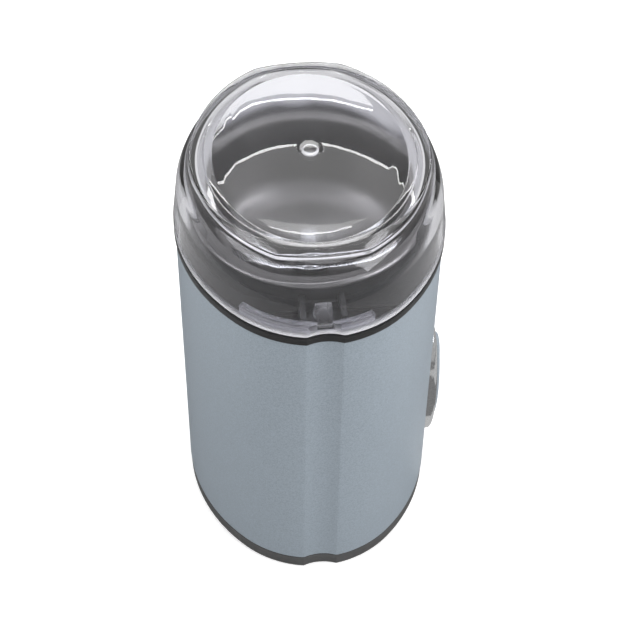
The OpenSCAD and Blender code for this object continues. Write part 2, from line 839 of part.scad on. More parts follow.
module lower_bearing() {
    color([0.72, 0.52, 0.3])
        translate([0, 0, low_bearing_z]) tube(bearing_r, shaft_r + bearing_slip, bearing_h);
}

module upper_bracket() {
    color([0.32, 0.33, 0.35])
        difference() {
            union() {
                translate([0, 0, bracket_z]) linear_extrude(bracket_t) bracket_plan();
                translate([0, 0, bracket_z]) cylinder(r = cup_r + 1, h = bearing_top - bracket_z);
                translate([0, 0, stack_top]) at_bolts() cylinder(r = pillar_r, h = fan_room + 1);
            }
            translate([0, 0, bearing_top - bearing_h]) cylinder(r = bearing_r, h = bearing_h + 1);
            translate([0, 0, bracket_z - 1]) cylinder(r = shaft_r + 1, h = bearing_h);
            translate([0, 0, bracket_z - 1]) at_posts()
                cylinder(r = screw_r + damper_slip, h = bracket_t + 2);
            translate([0, 0, stack_top - 1]) at_bolts()
                cylinder(r = bolt_r, h = fan_room + bracket_t + 2);
        }
}

// Plan of the upper bracket: a round plate with windows and an arm to each post.
module bracket_plan() {
    difference() {
        circle(r = stack_r - 1);
        for (a = [0, 180]) rotate(a) difference() {
            sector(stack_flat + 0.5, -34, 34);
            circle(r = cup_r + 5);
        }
    }
    for (sx = [-1, 1], sy = [-1, 1]) {
        translate([sx * post_x, sy * post_y]) circle(r = pad_r);
        translate([sx * post_x - pad_r, sy > 0 ? 0 : -post_y]) square([2 * pad_r, post_y]);
    }
}

module lower_bracket() {
    color([0.32, 0.33, 0.35])
        difference() {
            union() {
                translate([0, 0, low_bracket_z]) linear_extrude(bracket_t) intersection() {
                    circle(r = stack_r);
                    square([2 * stack_flat, 2 * stack_r], center = true);
                }
                translate([0, 0, low_bearing_z - cup_floor])
                    cylinder(r = cup_r, h = low_bracket_z - low_bearing_z + cup_floor + 0.4);
                translate([0, 0, low_bracket_top - 1]) at_bolts()
                    cylinder(r = pillar_r, h = brush_room + 1);
            }
            translate([0, 0, low_bearing_z]) cylinder(r = bearing_r, h = bearing_h + 1);
            translate([0, 0, cushion_z]) cylinder(r = shaft_r + 1, h = bearing_h);
            translate([0, 0, low_bracket_z - 1]) at_bolts()
                cylinder(r = bolt_r, h = bracket_t + brush_room + 2);
        }
}

module bracket_dampers() {
    color([0.1, 0.1, 0.1])
        translate([0, 0, bracket_top]) at_posts() tube(pad_r, screw_r + damper_slip, damper_h);
}

module bracket_screws() {
    color([0.6, 0.6, 0.62])
        translate([0, 0, bracket_z]) at_posts()
            screw(head_r + 0.6, 1.8, screw_r, bracket_t + damper_h + boss_h);
}

module motor_bolts() {
    color([0.6, 0.6, 0.62])
        translate([0, 0, low_bracket_z]) at_bolts()
            screw(pillar_r, 1.8, bolt_r, bracket_top - low_bracket_z - 1);
}

module lower_cushion() {
    color([0.1, 0.1, 0.1])
        translate([0, 0, cushion_z]) tube(cup_r, cushion_bore, cushion_h);
}

module stator_stack() {
    color([0.45, 0.45, 0.47])
        translate([0, 0, stack_z]) linear_extrude(stack_h) difference() {
            intersection() {
                circle(r = stack_r);
                square([2 * stack_flat, 2 * stack_r], center = true);
            }
            circle(r = pole_r);
            for (a = [90, -90]) rotate(a) difference() {
                sector(coil_r + 0.3, -35, 35);
                circle(r = pole_r - 1);
            }
            at_bolts() circle(r = bolt_r);
        }
}

// Each coil lies round one pole: two legs in the windows and two end turns.
module field_coils() {
    color([0.72, 0.36, 0.16])
        for (s = [0, 180]) rotate(s) {
            for (z = [stack_z - coil_out, stack_top])
                translate([0, 0, z]) coil_arc(coil_out, -88, 88);
            for (a = [57, -57 - 31])
                translate([0, 0, stack_z - EPS]) coil_arc(stack_h + 2 * EPS, a, a + 31);
        }
}

module coil_arc(h, a0, a1) {
    linear_extrude(h) difference() {
        intersection() {
            circle(r = coil_r);
            union() {
                sector(coil_r, a0, (a0 + a1) / 2);
                sector(coil_r, (a0 + a1) / 2, a1);
            }
        }
        circle(r = pole_r + coil_gap);
    }
}

module armature_core() {
    color([0.5, 0.5, 0.52])
        translate([0, 0, stack_z - 0.5]) linear_extrude(stack_h + 1) difference() {
            circle(r = armature_r);
            circle(r = shaft_r);
            for (i = [1 : armature_slots]) rotate(i * 360 / armature_slots) {
                translate([armature_r - slot_depth, 0]) circle(r = slot_r, $fn = 24);
                translate([armature_r - slot_depth, -slot_mouth / 2])
                    square([slot_depth + 1, slot_mouth]);
            }
        }
}

module armature_windings() {
    color([0.75, 0.4, 0.18])
        for (z = [stack_z - 0.5 - winding_h, stack_top + 0.5])
            translate([0, 0, z]) tube(armature_r - tooth_w, shaft_r, winding_h);
}

module commutator() {
    color([0.75, 0.45, 0.25])
        difference() {
            translate([0, 0, commutator_z]) tube(commutator_r, shaft_r, commutator_h);
            for (i = [1 : armature_slots]) rotate(i * 360 / armature_slots)
                translate([commutator_r - 0.8, -0.2, commutator_z - 1])
                    cube([2, 0.4, commutator_h - 1]);
        }
}

module cooling_fan() {
    fan_z = bracket_z - fan_h - fan_top_gap;
    color([0.85, 0.85, 0.82])
        difference() {
            translate([0, 0, fan_z]) {
                cylinder(r = 7, h = fan_h);
                cylinder(r = fan_r, h = 1.4);
                for (i = [1 : fan_blades]) rotate(i * 360 / fan_blades)
                    translate([6, -0.6, 0]) cube([fan_r - 6.5, 1.2, fan_h - 1]);
            }
            translate([0, 0, fan_z - 1]) cylinder(r = shaft_r, h = fan_h + 2);
        }
}

// The brushes bear on the commutator along Y.
module brush_holders() {
    color([0.75, 0.62, 0.3])
        for (a = [90, -90]) rotate(a) difference() {
            translate([commutator_r + 2, -brush_w / 2 - holder_t, low_bracket_top])
                cube([holder_l, brush_w + 2 * holder_t, brush_z + brush_h + holder_t + 0.5
                      - low_bracket_top]);
            translate([commutator_r + 1, -brush_w / 2, brush_z]) cube([holder_l, brush_w, brush_h]);
        }
}

module carbon_brushes() {
    color([0.15, 0.15, 0.16])
        for (a = [90, -90]) rotate(a)
            translate([commutator_r + 0.1, bore_gap - brush_w / 2, brush_z + bore_gap])
                cube([brush_l, brush_w - 2 * bore_gap, brush_h - 2 * bore_gap]);
}

module brush_springs() {
    color([0.75, 0.75, 0.77])
        for (a = [90, -90]) rotate(a)
            translate([commutator_r + 0.1 + brush_l, 0, brush_z + brush_h / 2])
                rotate([0, 90, 0])
                    spring_rings(brush_w / 2 - 0.8, spring_wire, holder_l - brush_l + 0.9, 5);
}

// ---- Wiring ----

module capacitor() {
    color([0.85, 0.72, 0.2])
        translate([-capacitor_w / 2, half_d - wiring_in - capacitor_t, plate_top])
            cube([capacitor_w, capacitor_t, capacitor_h]);
}

module terminal_block() {
    color([0.9, 0.9, 0.88])
        difference() {
            translate([-terminal_w / 2, wiring_in - half_d, plate_top])
                cube([terminal_w, terminal_t, terminal_h]);
            for (i = [-1 : 1])
                translate([i * 0.3 * terminal_w, wiring_in + terminal_t / 2 - half_d,
                           plate_top + terminal_h / 3])
                    cylinder(r = terminal_t / 5, h = terminal_h);
        }
}

// A rubber sleeve through the shell; its outer rim lies in the flute and follows it.
module cord_entry() {
    color([0.08, 0.08, 0.08])
        difference() {
            union() {
                intersection() {
                    translate([0, cord_y + cord_rim_t, cord_z]) rotate([90, 0, 0])
                        cylinder(r = cord_rim_r, h = cord_rim_t);
                    translate([0, cord_y + flute_r, cord_z - cord_rim_r])
                        cylinder(r = flute_r - bore_gap, h = 2 * cord_rim_r);
                }
                translate([0, cord_y + 0.5, cord_z]) rotate([90, 0, 0])
                    cylinder(r = cord_hole_r - bore_gap, h = shell_t + 1);
                translate([0, cord_y - shell_t - 0.3, cord_z]) rotate([90, 0, 0])
                    cylinder(r = cord_rim_r, h = cord_rim_t);
            }
            translate([0, cord_y + 3, cord_z]) rotate([90, 0, 0])
                cylinder(r = cord_hole_r - cord_sleeve_t, h = shell_t + cord_rim_t + 6);
        }
}

lid();
collar();
body_shell();
base_ring();
bottom_plate();
rubber_feet();
base_screws();
button_bezel();
button_cap();
button_spring();
button_guide();
power_switch();
switch_plunger();
interlock_pin();
interlock_spring();
interlock_switch();
grinding_bowl();
bowl_gasket();
blade();
blade_spacer();
blade_nut();
motor_shaft();
upper_bearing();
lower_bearing();
upper_bracket();
lower_bracket();
bracket_dampers();
bracket_screws();
motor_bolts();
lower_cushion();
stator_stack();
field_coils();
armature_core();
armature_windings();
commutator();
cooling_fan();
brush_holders();
carbon_brushes();
brush_springs();
capacitor();
terminal_block();
cord_entry();
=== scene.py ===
import json
import math

import bmesh
import bpy
from mathutils import Matrix, Vector


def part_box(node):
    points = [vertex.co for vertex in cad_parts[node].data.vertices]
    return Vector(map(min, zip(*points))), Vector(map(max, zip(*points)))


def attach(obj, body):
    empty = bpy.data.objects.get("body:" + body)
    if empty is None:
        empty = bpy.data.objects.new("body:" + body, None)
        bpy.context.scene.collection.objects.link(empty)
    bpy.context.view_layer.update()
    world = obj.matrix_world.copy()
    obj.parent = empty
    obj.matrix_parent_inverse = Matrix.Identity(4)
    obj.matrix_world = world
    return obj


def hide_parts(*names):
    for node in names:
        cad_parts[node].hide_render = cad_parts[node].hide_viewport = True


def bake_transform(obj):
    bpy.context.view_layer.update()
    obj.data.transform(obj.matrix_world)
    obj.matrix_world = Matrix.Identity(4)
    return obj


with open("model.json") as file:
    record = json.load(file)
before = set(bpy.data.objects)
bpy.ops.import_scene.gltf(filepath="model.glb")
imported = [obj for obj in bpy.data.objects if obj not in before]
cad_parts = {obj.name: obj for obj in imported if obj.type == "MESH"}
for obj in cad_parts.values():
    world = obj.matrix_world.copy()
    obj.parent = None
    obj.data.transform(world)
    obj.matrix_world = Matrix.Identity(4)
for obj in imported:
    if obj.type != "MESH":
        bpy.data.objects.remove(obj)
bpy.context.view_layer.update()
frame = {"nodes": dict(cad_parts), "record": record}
scene = bpy.context.scene

MM = 0.001

# ---- Camera: a long lens that looks down over the end with the interlock ----
CAMERA_PLACE = Vector((-0.041, -0.384, 0.52779))
CAMERA_HEADING = math.radians(6.45)
CAMERA_PITCH = math.radians(49.43)
CAMERA_ROLL = math.radians(1.04)
CAMERA_LENS = 100.43

# ---- The oval body: two end arcs and two side arcs, with a flute at each end ----
SHELL_LOW, SHELL_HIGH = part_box("body_shell")
LID_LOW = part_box("lid")[0]
BEZEL_LOW, BEZEL_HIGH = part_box("button_bezel")
CAP_LOW, CAP_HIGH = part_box("button_cap")
WIDTH = SHELL_HIGH.x - SHELL_LOW.x
DEPTH = 103 * MM
END_R = 36 * MM
FLUTE_R = 15 * MM
FLUTE_DEPTH = 1.6 * MM
END_Y = DEPTH / 2 - END_R

# ---- The lid's sizes ----
WALL = 2.5 * MM
# The skirt stands proud of the body and leans in as it rises; its flute fades out on the way
LID_PROUD = 0.5 * MM
SKIRT_EDGE = 0.3 * MM
SKIRT_H = 12.9 * MM
SKIRT_TOP = LID_LOW.z + SKIRT_H
SKIRT_LEAN = 1.4 * MM
FLUTE_FADE = 0.8
LID_INSET = WALL - LID_PROUD + SKIRT_LEAN
# The crest has bowed sides and a flatter land at each end; turns are in degrees
CREST_Z = LID_LOW.z + 26.2 * MM
CREST_R = WIDTH / 2 - 6.6 * MM
CREST_ROUND = 1.5 * MM
CREST_BLEND = 0.1 * MM
SIDE_BOW, SIDE_BOW_FROM, SIDE_BOW_OVER = 5.7 * MM, 20, 51
LAND_REACH = DEPTH / 2 - 8.9 * MM
LAND_BOW, LAND_BOW_OVER = 0.6 * MM, 19
LAND_DROP = 1 * MM
# Half width and half depth of the hollow's brow and of the domed disc inside it
BROW_W, BROW_D = 36.9 * MM, 39.3 * MM
DISC_W, DISC_D = 29.9 * MM, 36.6 * MM
DOME_Z = CREST_Z + 1 * MM
DOME_RISE = 1.6 * MM
# The haze ends just outside the inner face's own brow
INNER_BROW_W, INNER_BROW_D = BROW_W - 2.6 * MM, BROW_D - 2 * MM
INNER_BROW_Z = CREST_Z - WALL - 0.6 * MM
HAZE_W, HAZE_D = BROW_W - 2.5 * MM, BROW_D - 1.9 * MM
# Half width, half depth and drop below the crest of the steps from brow to disc, in mm
STEPS = ((36.7, 39.1, 0.02), (36.5, 38.95, 0.05), (36.3, 38.8, 0.055), (33.1, 38.3, 0.25),
         (32.9, 38.2, 0.26), (32.5, 37.95, 0.4), (32.3, 37.85, 0.42), (30.5, 36.95, 0.5),
         (30.3, 36.85, 0.51), (30.05, 36.7, 0.62))
PIP_R, PIP_H = 2.65 * MM, 1 * MM
PIP_FOOT_R = PIP_R * 1.01
PIP_FOOT_Z = DOME_Z - PIP_FOOT_R * 0.004
# The lock rib round the inside of the skirt, and the lug that holds the interlock's pin down
RIB_H, RIB_T = 3.4 * MM, 1.8 * MM
RIB_LIFT = 0.2 * MM
RIB_SINK = 0.9 * MM
RIB_FROM, RIB_OVER = -136, 72
LUG_HALF_W = 2.5 * MM
LUG_REACH = 9.4 * MM
LUG_LIFT = 1 * MM
LUG_SINK = 1 * MM
# How far the clear plastic is whitened: its low edge as a painted highlight, the pip and the rib
# as rubbed
EDGE_HIGHLIGHT, PIP_WEAR, RIB_WEAR = 1.0, 0.6, 0.08
LOW_EDGE_H = 0.35 * MM

# ---- The body and the finish of each CAD node ----
BODY_OF = {node: body for body, nodes in frame["record"]["behaviour"]["bodies"].items()
           for node in nodes}
SLOT_OF = {entry["node"]: entry["material_slot"] for entry in frame["record"]["subparts"]}


def look_camera():
    """The camera stands at CAMERA_PLACE, turned by heading, pitch and roll."""
    forward = Vector((math.cos(CAMERA_PITCH) * math.sin(CAMERA_HEADING),
                      math.cos(CAMERA_PITCH) * math.cos(CAMERA_HEADING),
                      -math.sin(CAMERA_PITCH)))
    level = Vector((math.cos(CAMERA_HEADING), -math.sin(CAMERA_HEADING), 0))
    upright = level.cross(forward)
    right = level * math.cos(CAMERA_ROLL) + upright * math.sin(CAMERA_ROLL)
    up = upright * math.cos(CAMERA_ROLL) - level * math.sin(CAMERA_ROLL)
    camera = bpy.data.objects.new("camera", bpy.data.cameras.new("camera"))
    camera.data.lens = CAMERA_LENS
    camera.data.clip_start = 0.01
    camera.matrix_world = Matrix.Translation(CAMERA_PLACE) @ Matrix(
        (right, up, -forward)).transposed().to_4x4()
    scene.collection.objects.link(camera)
    scene.camera = camera


look_camera()


# ---- Mesh helpers ----

def put(name, mesh):
    """An object at the origin that shows the mesh."""
    piece = bpy.data.objects.new(name, mesh)
    scene.collection.objects.link(piece)
    return piece


def smooth(mesh, sharp=35):
    """Rounds the shading, apart from edges sharper than the angle."""
    mesh.shade_smooth()
    mesh.set_sharp_from_angle(angle=math.radians(sharp))


def settled(piece):
    """The piece with its modifiers turned into plain mesh."""
    depsgraph = bpy.context.evaluated_depsgraph_get()
    mesh = bpy.data.meshes.new_from_object(piece.evaluated_get(depsgraph))
    piece.modifiers.clear()
    piece.data = mesh
    return piece


def radius_at(angle, inset=0.0, flute=FLUTE_DEPTH, width=WIDTH, depth=DEPTH, end_r=END_R):
    """Distance from the axis to the oval, drawn inset, in a direction."""
    across, along = abs(math.cos(angle)), abs(math.sin(angle))
    end_y = depth / 2 - end_r
    side_r = (width ** 2 / 4 + end_y ** 2 - end_r ** 2) / (width - 2 * end_r)
    side_x = side_r - width / 2
    join = math.atan2(end_y, side_x)
    join_x = (side_r - inset) * math.cos(join) - side_x
    join_y = (side_r - inset) * math.sin(join)
    if along * join_x > across * join_y:
        reach = end_y * along + math.sqrt((end_y * along) ** 2 - end_y ** 2 + (end_r - inset) ** 2)
    else:
        reach = math.sqrt((side_x * across) ** 2 - side_x ** 2 + (side_r - inset) ** 2) \
            - side_x * across
    if flute > 0:
        centre = depth / 2 - flute + FLUTE_R
        hit = (centre * along) ** 2 - centre ** 2 + (FLUTE_R + inset) ** 2
        if hit > 0:
            reach = min(reach, centre * along - math.sqrt(hit))
    return reach


def ring_of(angles, height, radius):
    """A level ring whose radius follows the angle."""
    return [Vector((radius(a) * math.cos(a), radius(a) * math.sin(a), height)) for a in angles]


def loft(name, rings, closed=False):
    """A skin over rings of equal count, from the first to the last; single points close it."""
    mesh = bpy.data.meshes.new(name)
    skin = bmesh.new()
    rows = [[skin.verts.new(p) for p in ring] for ring in rings]
    pairs = list(zip(rows, rows[1:])) + ([(rows[-1], rows[0])] if closed else [])
    for low, high in pairs:
        count = max(len(low), len(high))
        for i in range(count):
            j = (i + 1) % count
            corners = [low[i % len(low)], low[j % len(low)], high[j % len(high)],
                       high[i % len(high)]]
            skin.faces.new(list(dict.fromkeys(corners)))
    bmesh.ops.recalc_face_normals(skin, faces=skin.faces)
    skin.to_mesh(mesh)
    skin.free()
    return put(name, mesh)


def cap_ends(piece):
    """Closes the open ends of a loft."""
    shape = bmesh.new()
    shape.from_mesh(piece.data)
    bmesh.ops.holes_fill(shape, edges=shape.edges)
    bmesh.ops.recalc_face_normals(shape, faces=shape.faces)
    shape.to_mesh(piece.data)
    shape.free()


def block(name, low, high):
    """A plain box between two corners."""
    x0, y0, z0 = low
    x1, y1, z1 = high
    box = loft(name, [[Vector(p) for p in ((x0, y0, z), (x1, y0, z), (x1, y1, z), (x0, y1, z))]
                      for z in (z0, z1)])
    cap_ends(box)
    return box


def drum(name, middle, axis, radius, length):
    """A round bar about an axis, used to drill."""
    turn = Vector(axis).to_track_quat("Z", "Y").to_matrix().to_4x4()
    bar = bmesh.new()
    bmesh.ops.create_cone(bar, cap_ends=True, segments=64, radius1=radius, radius2=radius,
                          depth=length, matrix=Matrix.Translation(middle) @ turn)
    mesh = bpy.data.meshes.new(name)
    bar.to_mesh(mesh)
    bar.free()
    return put(name, mesh)


def cut(piece, other, operation="DIFFERENCE"):
    """Takes the other solid away from the piece, or joins it on."""
    modifier = piece.modifiers.new("cut", "BOOLEAN")
    modifier.operation = operation
    modifier.solver = "EXACT"
    modifier.object = other
    settled(piece)
    bpy.data.objects.remove(other)
    return piece


def dressed(node, finish, edge, sharp=25):
    """A copy of a CAD node with its edges broken and its finish on."""
    mesh = frame["nodes"][node].data.copy()
    if "custom_normal" in mesh.attributes:
        mesh.attributes.remove(mesh.attributes["custom_normal"])
    shape = bmesh.new()
    shape.from_mesh(mesh)
    bmesh.ops.remove_doubles(shape, verts=shape.verts, dist=1e-6)
    bmesh.ops.dissolve_limit(shape, angle_limit=math.radians(0.5), verts=shape.verts,
                             edges=shape.edges)
    shape.to_mesh(mesh)
    shape.free()
    piece = put("dressed_" + node, mesh)
    bevel = piece.modifiers.new("edges", "BEVEL")
    bevel.width = edge
    bevel.segments = 2
    bevel.limit_method = "ANGLE"
    bevel.angle_limit = math.radians(sharp)
    settled(piece)
    smooth(piece.data, sharp)
    return finished(piece, finish, node)


def finished(piece, finish, node, stretch=None):
    """Gives the piece its finish and, unless it stretches, its CAD node's body. A piece that
    stretches only has its place baked into its mesh; the body that its far end follows and its two
    ends are not used."""
    piece.data.materials.clear()
    piece.data.materials.append(finish.material)
    if stretch:
        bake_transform(piece)
    else:
        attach(piece, BODY_OF[node])
    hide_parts(node)
    return piece


# ---- Materials ----

class Finish:
    """A procedural material on Object coordinates."""

    def __init__(self, name, colour, roughness, metallic=0.0, **sockets):
        self.material = bpy.data.materials.new(name)
        self.material.use_nodes = True
        self.tree = self.material.node_tree
        self.shader = self.tree.nodes["Principled BSDF"]
        self.place = self.tree.nodes.new("ShaderNodeTexCoord").outputs["Object"]
        self.set("Base Color", (*colour, 1))
        self.set("Roughness", roughness)
        self.set("Metallic", metallic)
        for socket, value in sockets.items():
            self.set(socket.replace("_", " "), value)

    def set(self, socket, value):
        """Links a pattern to the shader's socket, or sets its own value."""
        if isinstance(value, bpy.types.NodeSocket):
            self.tree.links.new(value, self.shader.inputs[socket])
        else:
            self.shader.inputs[socket].default_value = value

    def node(self, kind, settings=None, **inputs):
        """A node with its inputs by name, or by number as i0, i1."""
        made = self.tree.nodes.new(kind)
        for key, value in (settings or {}).items():
            setattr(made, key, value)
        for key, value in inputs.items():
            socket = made.inputs[int(key[1:]) if key[0] == "i" and key[1:].isdigit()
                                 else key.replace("_", " ")]
            if isinstance(value, bpy.types.NodeSocket):
                self.tree.links.new(value, socket)
            else:
                socket.default_value = value
        return made

    def scaled(self, stretch):
        """The piece's own coordinates, stretched where the scale is small."""
        return self.node("ShaderNodeMapping", Vector=self.place, Scale=stretch).outputs[0]

    def noise(self, scale, detail=3.0, roughness=0.5, where=None):
        return self.node("ShaderNodeTexNoise", Vector=where or self.place, Scale=scale,
                         Detail=detail, Roughness=roughness).outputs["Fac"]

    def maths(self, operation, first, second=0.0):
        return self.node("ShaderNodeMath", {"operation": operation}, i0=first,
                         i1=second).outputs[0]

    def spread(self, factor, low, high):
        """The factor stretched to run from low to high, where it spans 0.3 to 0.7."""
        return self.node("ShaderNodeMapRange", Value=factor, From_Min=0.3, From_Max=0.7,
                         To_Min=low, To_Max=high).outputs[0]

    def tones(self, factor, dark, light, start=0.35, stop=0.65):
        """A colour between dark and light."""
        ramp = self.node("ShaderNodeValToRGB", Fac=factor)
        ramp.color_ramp.elements[0].position = start
        ramp.color_ramp.elements[0].color = (*dark, 1)
        ramp.color_ramp.elements[1].position = stop
        ramp.color_ramp.elements[1].color = (*light, 1)
        return ramp.outputs[0]

    def relief(self, height, depth, strength=1.0):
        self.set("Normal", self.node("ShaderNodeBump", Height=height, Distance=depth,
                                     Strength=strength).outputs[0])
        return self


def shade(colour, factor):
    return tuple(c * factor for c in colour)


def moulded(name, colour, roughness, grain=2600.0, depth=0.012 * MM):
    """Moulded plastic: a fine spark grain and cloudy gloss."""
    finish = Finish(name, colour, roughness)
    finish.set("Base Color", finish.tones(finish.noise(90.0), shade(colour, 0.88),
                                          shade(colour, 1.1)))
    finish.set("Roughness", finish.spread(finish.noise(420.0), roughness - 0.06, roughness + 0.08))
    return finish.relief(finish.noise(grain, 2.0), depth)


def drawn_steel(name, colour, roughness, stretch, depth=0.004 * MM):
    """Steel with fine lines along one way: stretch is small along the lines."""
    finish = Finish(name, colour, roughness, 1.0)
    lines = finish.noise(1500.0, 3.0, 0.6, finish.scaled(stretch))
    finish.set("Roughness", finish.spread(lines, roughness - 0.07, roughness + 0.1))
    finish.set("Base Color", finish.tones(lines, shade(colour, 0.9), shade(colour, 1.06)))
    return finish.relief(lines, depth)


PAINT = (0.324, 0.375, 0.424)
FLAKE_SCALE, BLOTCH_SCALE = 3200.0, 1700.0
HAZE_ROUGHNESS = (0.13, 0.19)
RUB_AND_HIGHLIGHT_CLEARNESS = 0.35


def metallic_paint(name):
    """Grey-blue paint with metal flake under a satin coat."""
    finish = Finish(name, PAINT, 0.46, 0.35)
    flake = finish.node("ShaderNodeTexVoronoi", {"feature": "F1"}, Vector=finish.place,
                        Scale=FLAKE_SCALE).outputs["Color"]
    tone = finish.node("ShaderNodeSeparateColor", Color=flake).outputs[0]
    blotch = finish.noise(BLOTCH_SCALE, 4.0, 0.7)
    mixed = finish.maths("ADD", finish.maths("MULTIPLY", tone, 0.4),
                         finish.maths("MULTIPLY", blotch, 0.6))
    finish.set("Base Color", finish.tones(mixed, shade(PAINT, 0.86), shade(PAINT, 1.12), 0.3, 0.7))
    finish.set("Roughness", finish.spread(tone, 0.4, 0.54))
    finish.set("Coat Weight", 0.12)
    finish.set("Coat Roughness", 0.35)
    return finish.relief(blotch, 0.006 * MM)


def clear_plastic():
    """Clear moulded plastic: faint flow waves, haze under the disc, a painted highlight on the low
    edge, rubbed pip and rib.
    """
    finish = Finish("clear_moulded_lid", (0.93, 0.93, 0.972), 0.0, IOR=1.57,
                    Transmission_Weight=1.0)
    haze = finish.node("ShaderNodeAttribute", {"attribute_name": "haze"}).outputs["Fac"]
    smear = finish.spread(finish.noise(45.0, 2.0, 0.4), *HAZE_ROUGHNESS)
    finish.set("Roughness", finish.maths("MULTIPLY", haze, smear))
    rub_and_highlight = finish.node("ShaderNodeAttribute", {"attribute_name": "rub_and_highlight"}).outputs["Fac"]
    clearness = finish.node("ShaderNodeMapRange", Value=rub_and_highlight, To_Min=1.0,
                            To_Max=RUB_AND_HIGHLIGHT_CLEARNESS).outputs[0]
    # Less clear where marked: the low edge turns whitish as a painted highlight, the pip and rib
    # as rubbed
    finish.set("Transmission Weight", clearness)
    waves = finish.noise(70.0, 2.0, 0.4)
    return finish.relief(waves, 0.05 * MM, 0.5)


FINISHES = {
    "clear_plastic": clear_plastic(),
    "painted_shell": metallic_paint("flake_paint_shell"),
    "painted_cap": metallic_paint("flake_paint_cap"),
    "dark_plastic": moulded("black_moulding", (0.017, 0.017, 0.018), 0.38),
    "base_plastic": moulded("grey_moulding", (0.072, 0.072, 0.072), 0.5),
    "soft_rubber": moulded("soft_rubber", (0.03, 0.03, 0.03), 0.72, 1500.0, 0.02 * MM),
    "zinc_steel": drawn_steel("zinc_plated", (0.60, 0.62, 0.60), 0.36, (1, 1, 0.2)),
    "chrome_trim": drawn_steel("bright_chrome", (0.88, 0.89, 0.90), 0.09, (1, 1, 1), 0.001 * MM),
    "spring_steel": drawn_steel("spring_wire", (0.55, 0.55, 0.56), 0.3, (1, 1, 1)),
    "red_plastic": moulded("red_moulding", (0.45, 0.04, 0.03), 0.35),
    "nylon": moulded("glass_filled_nylon", (0.04, 0.04, 0.042), 0.5),
    # The bowl's steel is drawn far darker than steel: painted shade for the inside of the bowl
    # under the lid
    "stainless_steel": drawn_steel("spun_bowl_steel_painted_shade", (0.24, 0.235, 0.23), 0.36, (0.05, 0.05, 1)),
    "blade_steel": drawn_steel("ground_blade_steel", (0.62, 0.63, 0.64), 0.25, (1, 0.04, 1)),
    "shaft_steel": drawn_steel("ground_shaft_steel", (0.58, 0.58, 0.6), 0.24, (1, 1, 0.05)),
    "bronze": drawn_steel("sintered_bronze", (0.55, 0.36, 0.18), 0.5, (1, 1, 1), 0.02 * MM),
    "cast_metal": drawn_steel("die_cast_metal", (0.42, 0.43, 0.45), 0.52, (1, 1, 1), 0.02 * MM),
    "lamination_steel": drawn_steel("stacked_sheet", (0.3, 0.3, 0.32), 0.45, (0.02, 0.02, 1),
                                    0.05 * MM),
    "copper_wire": drawn_steel("enamelled_wire", (0.62, 0.25, 0.1), 0.35, (0.1, 0.1, 1),
                               0.06 * MM),
    "copper_bar": drawn_steel("turned_copper", (0.7, 0.36, 0.2), 0.3, (0.05, 0.05, 1)),
    "brass_sheet": drawn_steel("stamped_brass", (0.7, 0.54, 0.24), 0.3, (1, 1, 1)),
    "carbon": moulded("pressed_carbon", (0.035, 0.035, 0.038), 0.6, 1800.0, 0.02 * MM),
    "film_capacitor": moulded("yellow_moulding", (0.62, 0.42, 0.06), 0.3),
}


def finish_of(node):
    return FINISHES[SLOT_OF[node]]


# ---- Trees that grow the swept and wound pieces ----

class Number:
    """A number inside a tree of nodes, so that sums can be written out."""

    def __init__(self, tree, socket):
        self.tree, self.socket = tree, socket

    def made(self, operation, *others):
        """The number that an operation makes of this one and the others."""
        node = self.tree.nodes.new("ShaderNodeMath")
        node.operation = operation
        for place, value in zip(node.inputs, (self,) + others):
            if isinstance(value, Number):
                self.tree.links.new(value.socket, place)
            else:
                place.default_value = value
        return Number(self.tree, node.outputs[0])

    def __add__(self, other):
        return self.made("ADD", other)

    def __sub__(self, other):
        return self.made("SUBTRACT", other)

    def __mul__(self, other):
        return self.made("MULTIPLY", other)

    def __truediv__(self, other):
        return self.made("DIVIDE", other)

    def squared(self):
        return self.made("MULTIPLY", self)

    def root(self):
        return self.made("SQRT")


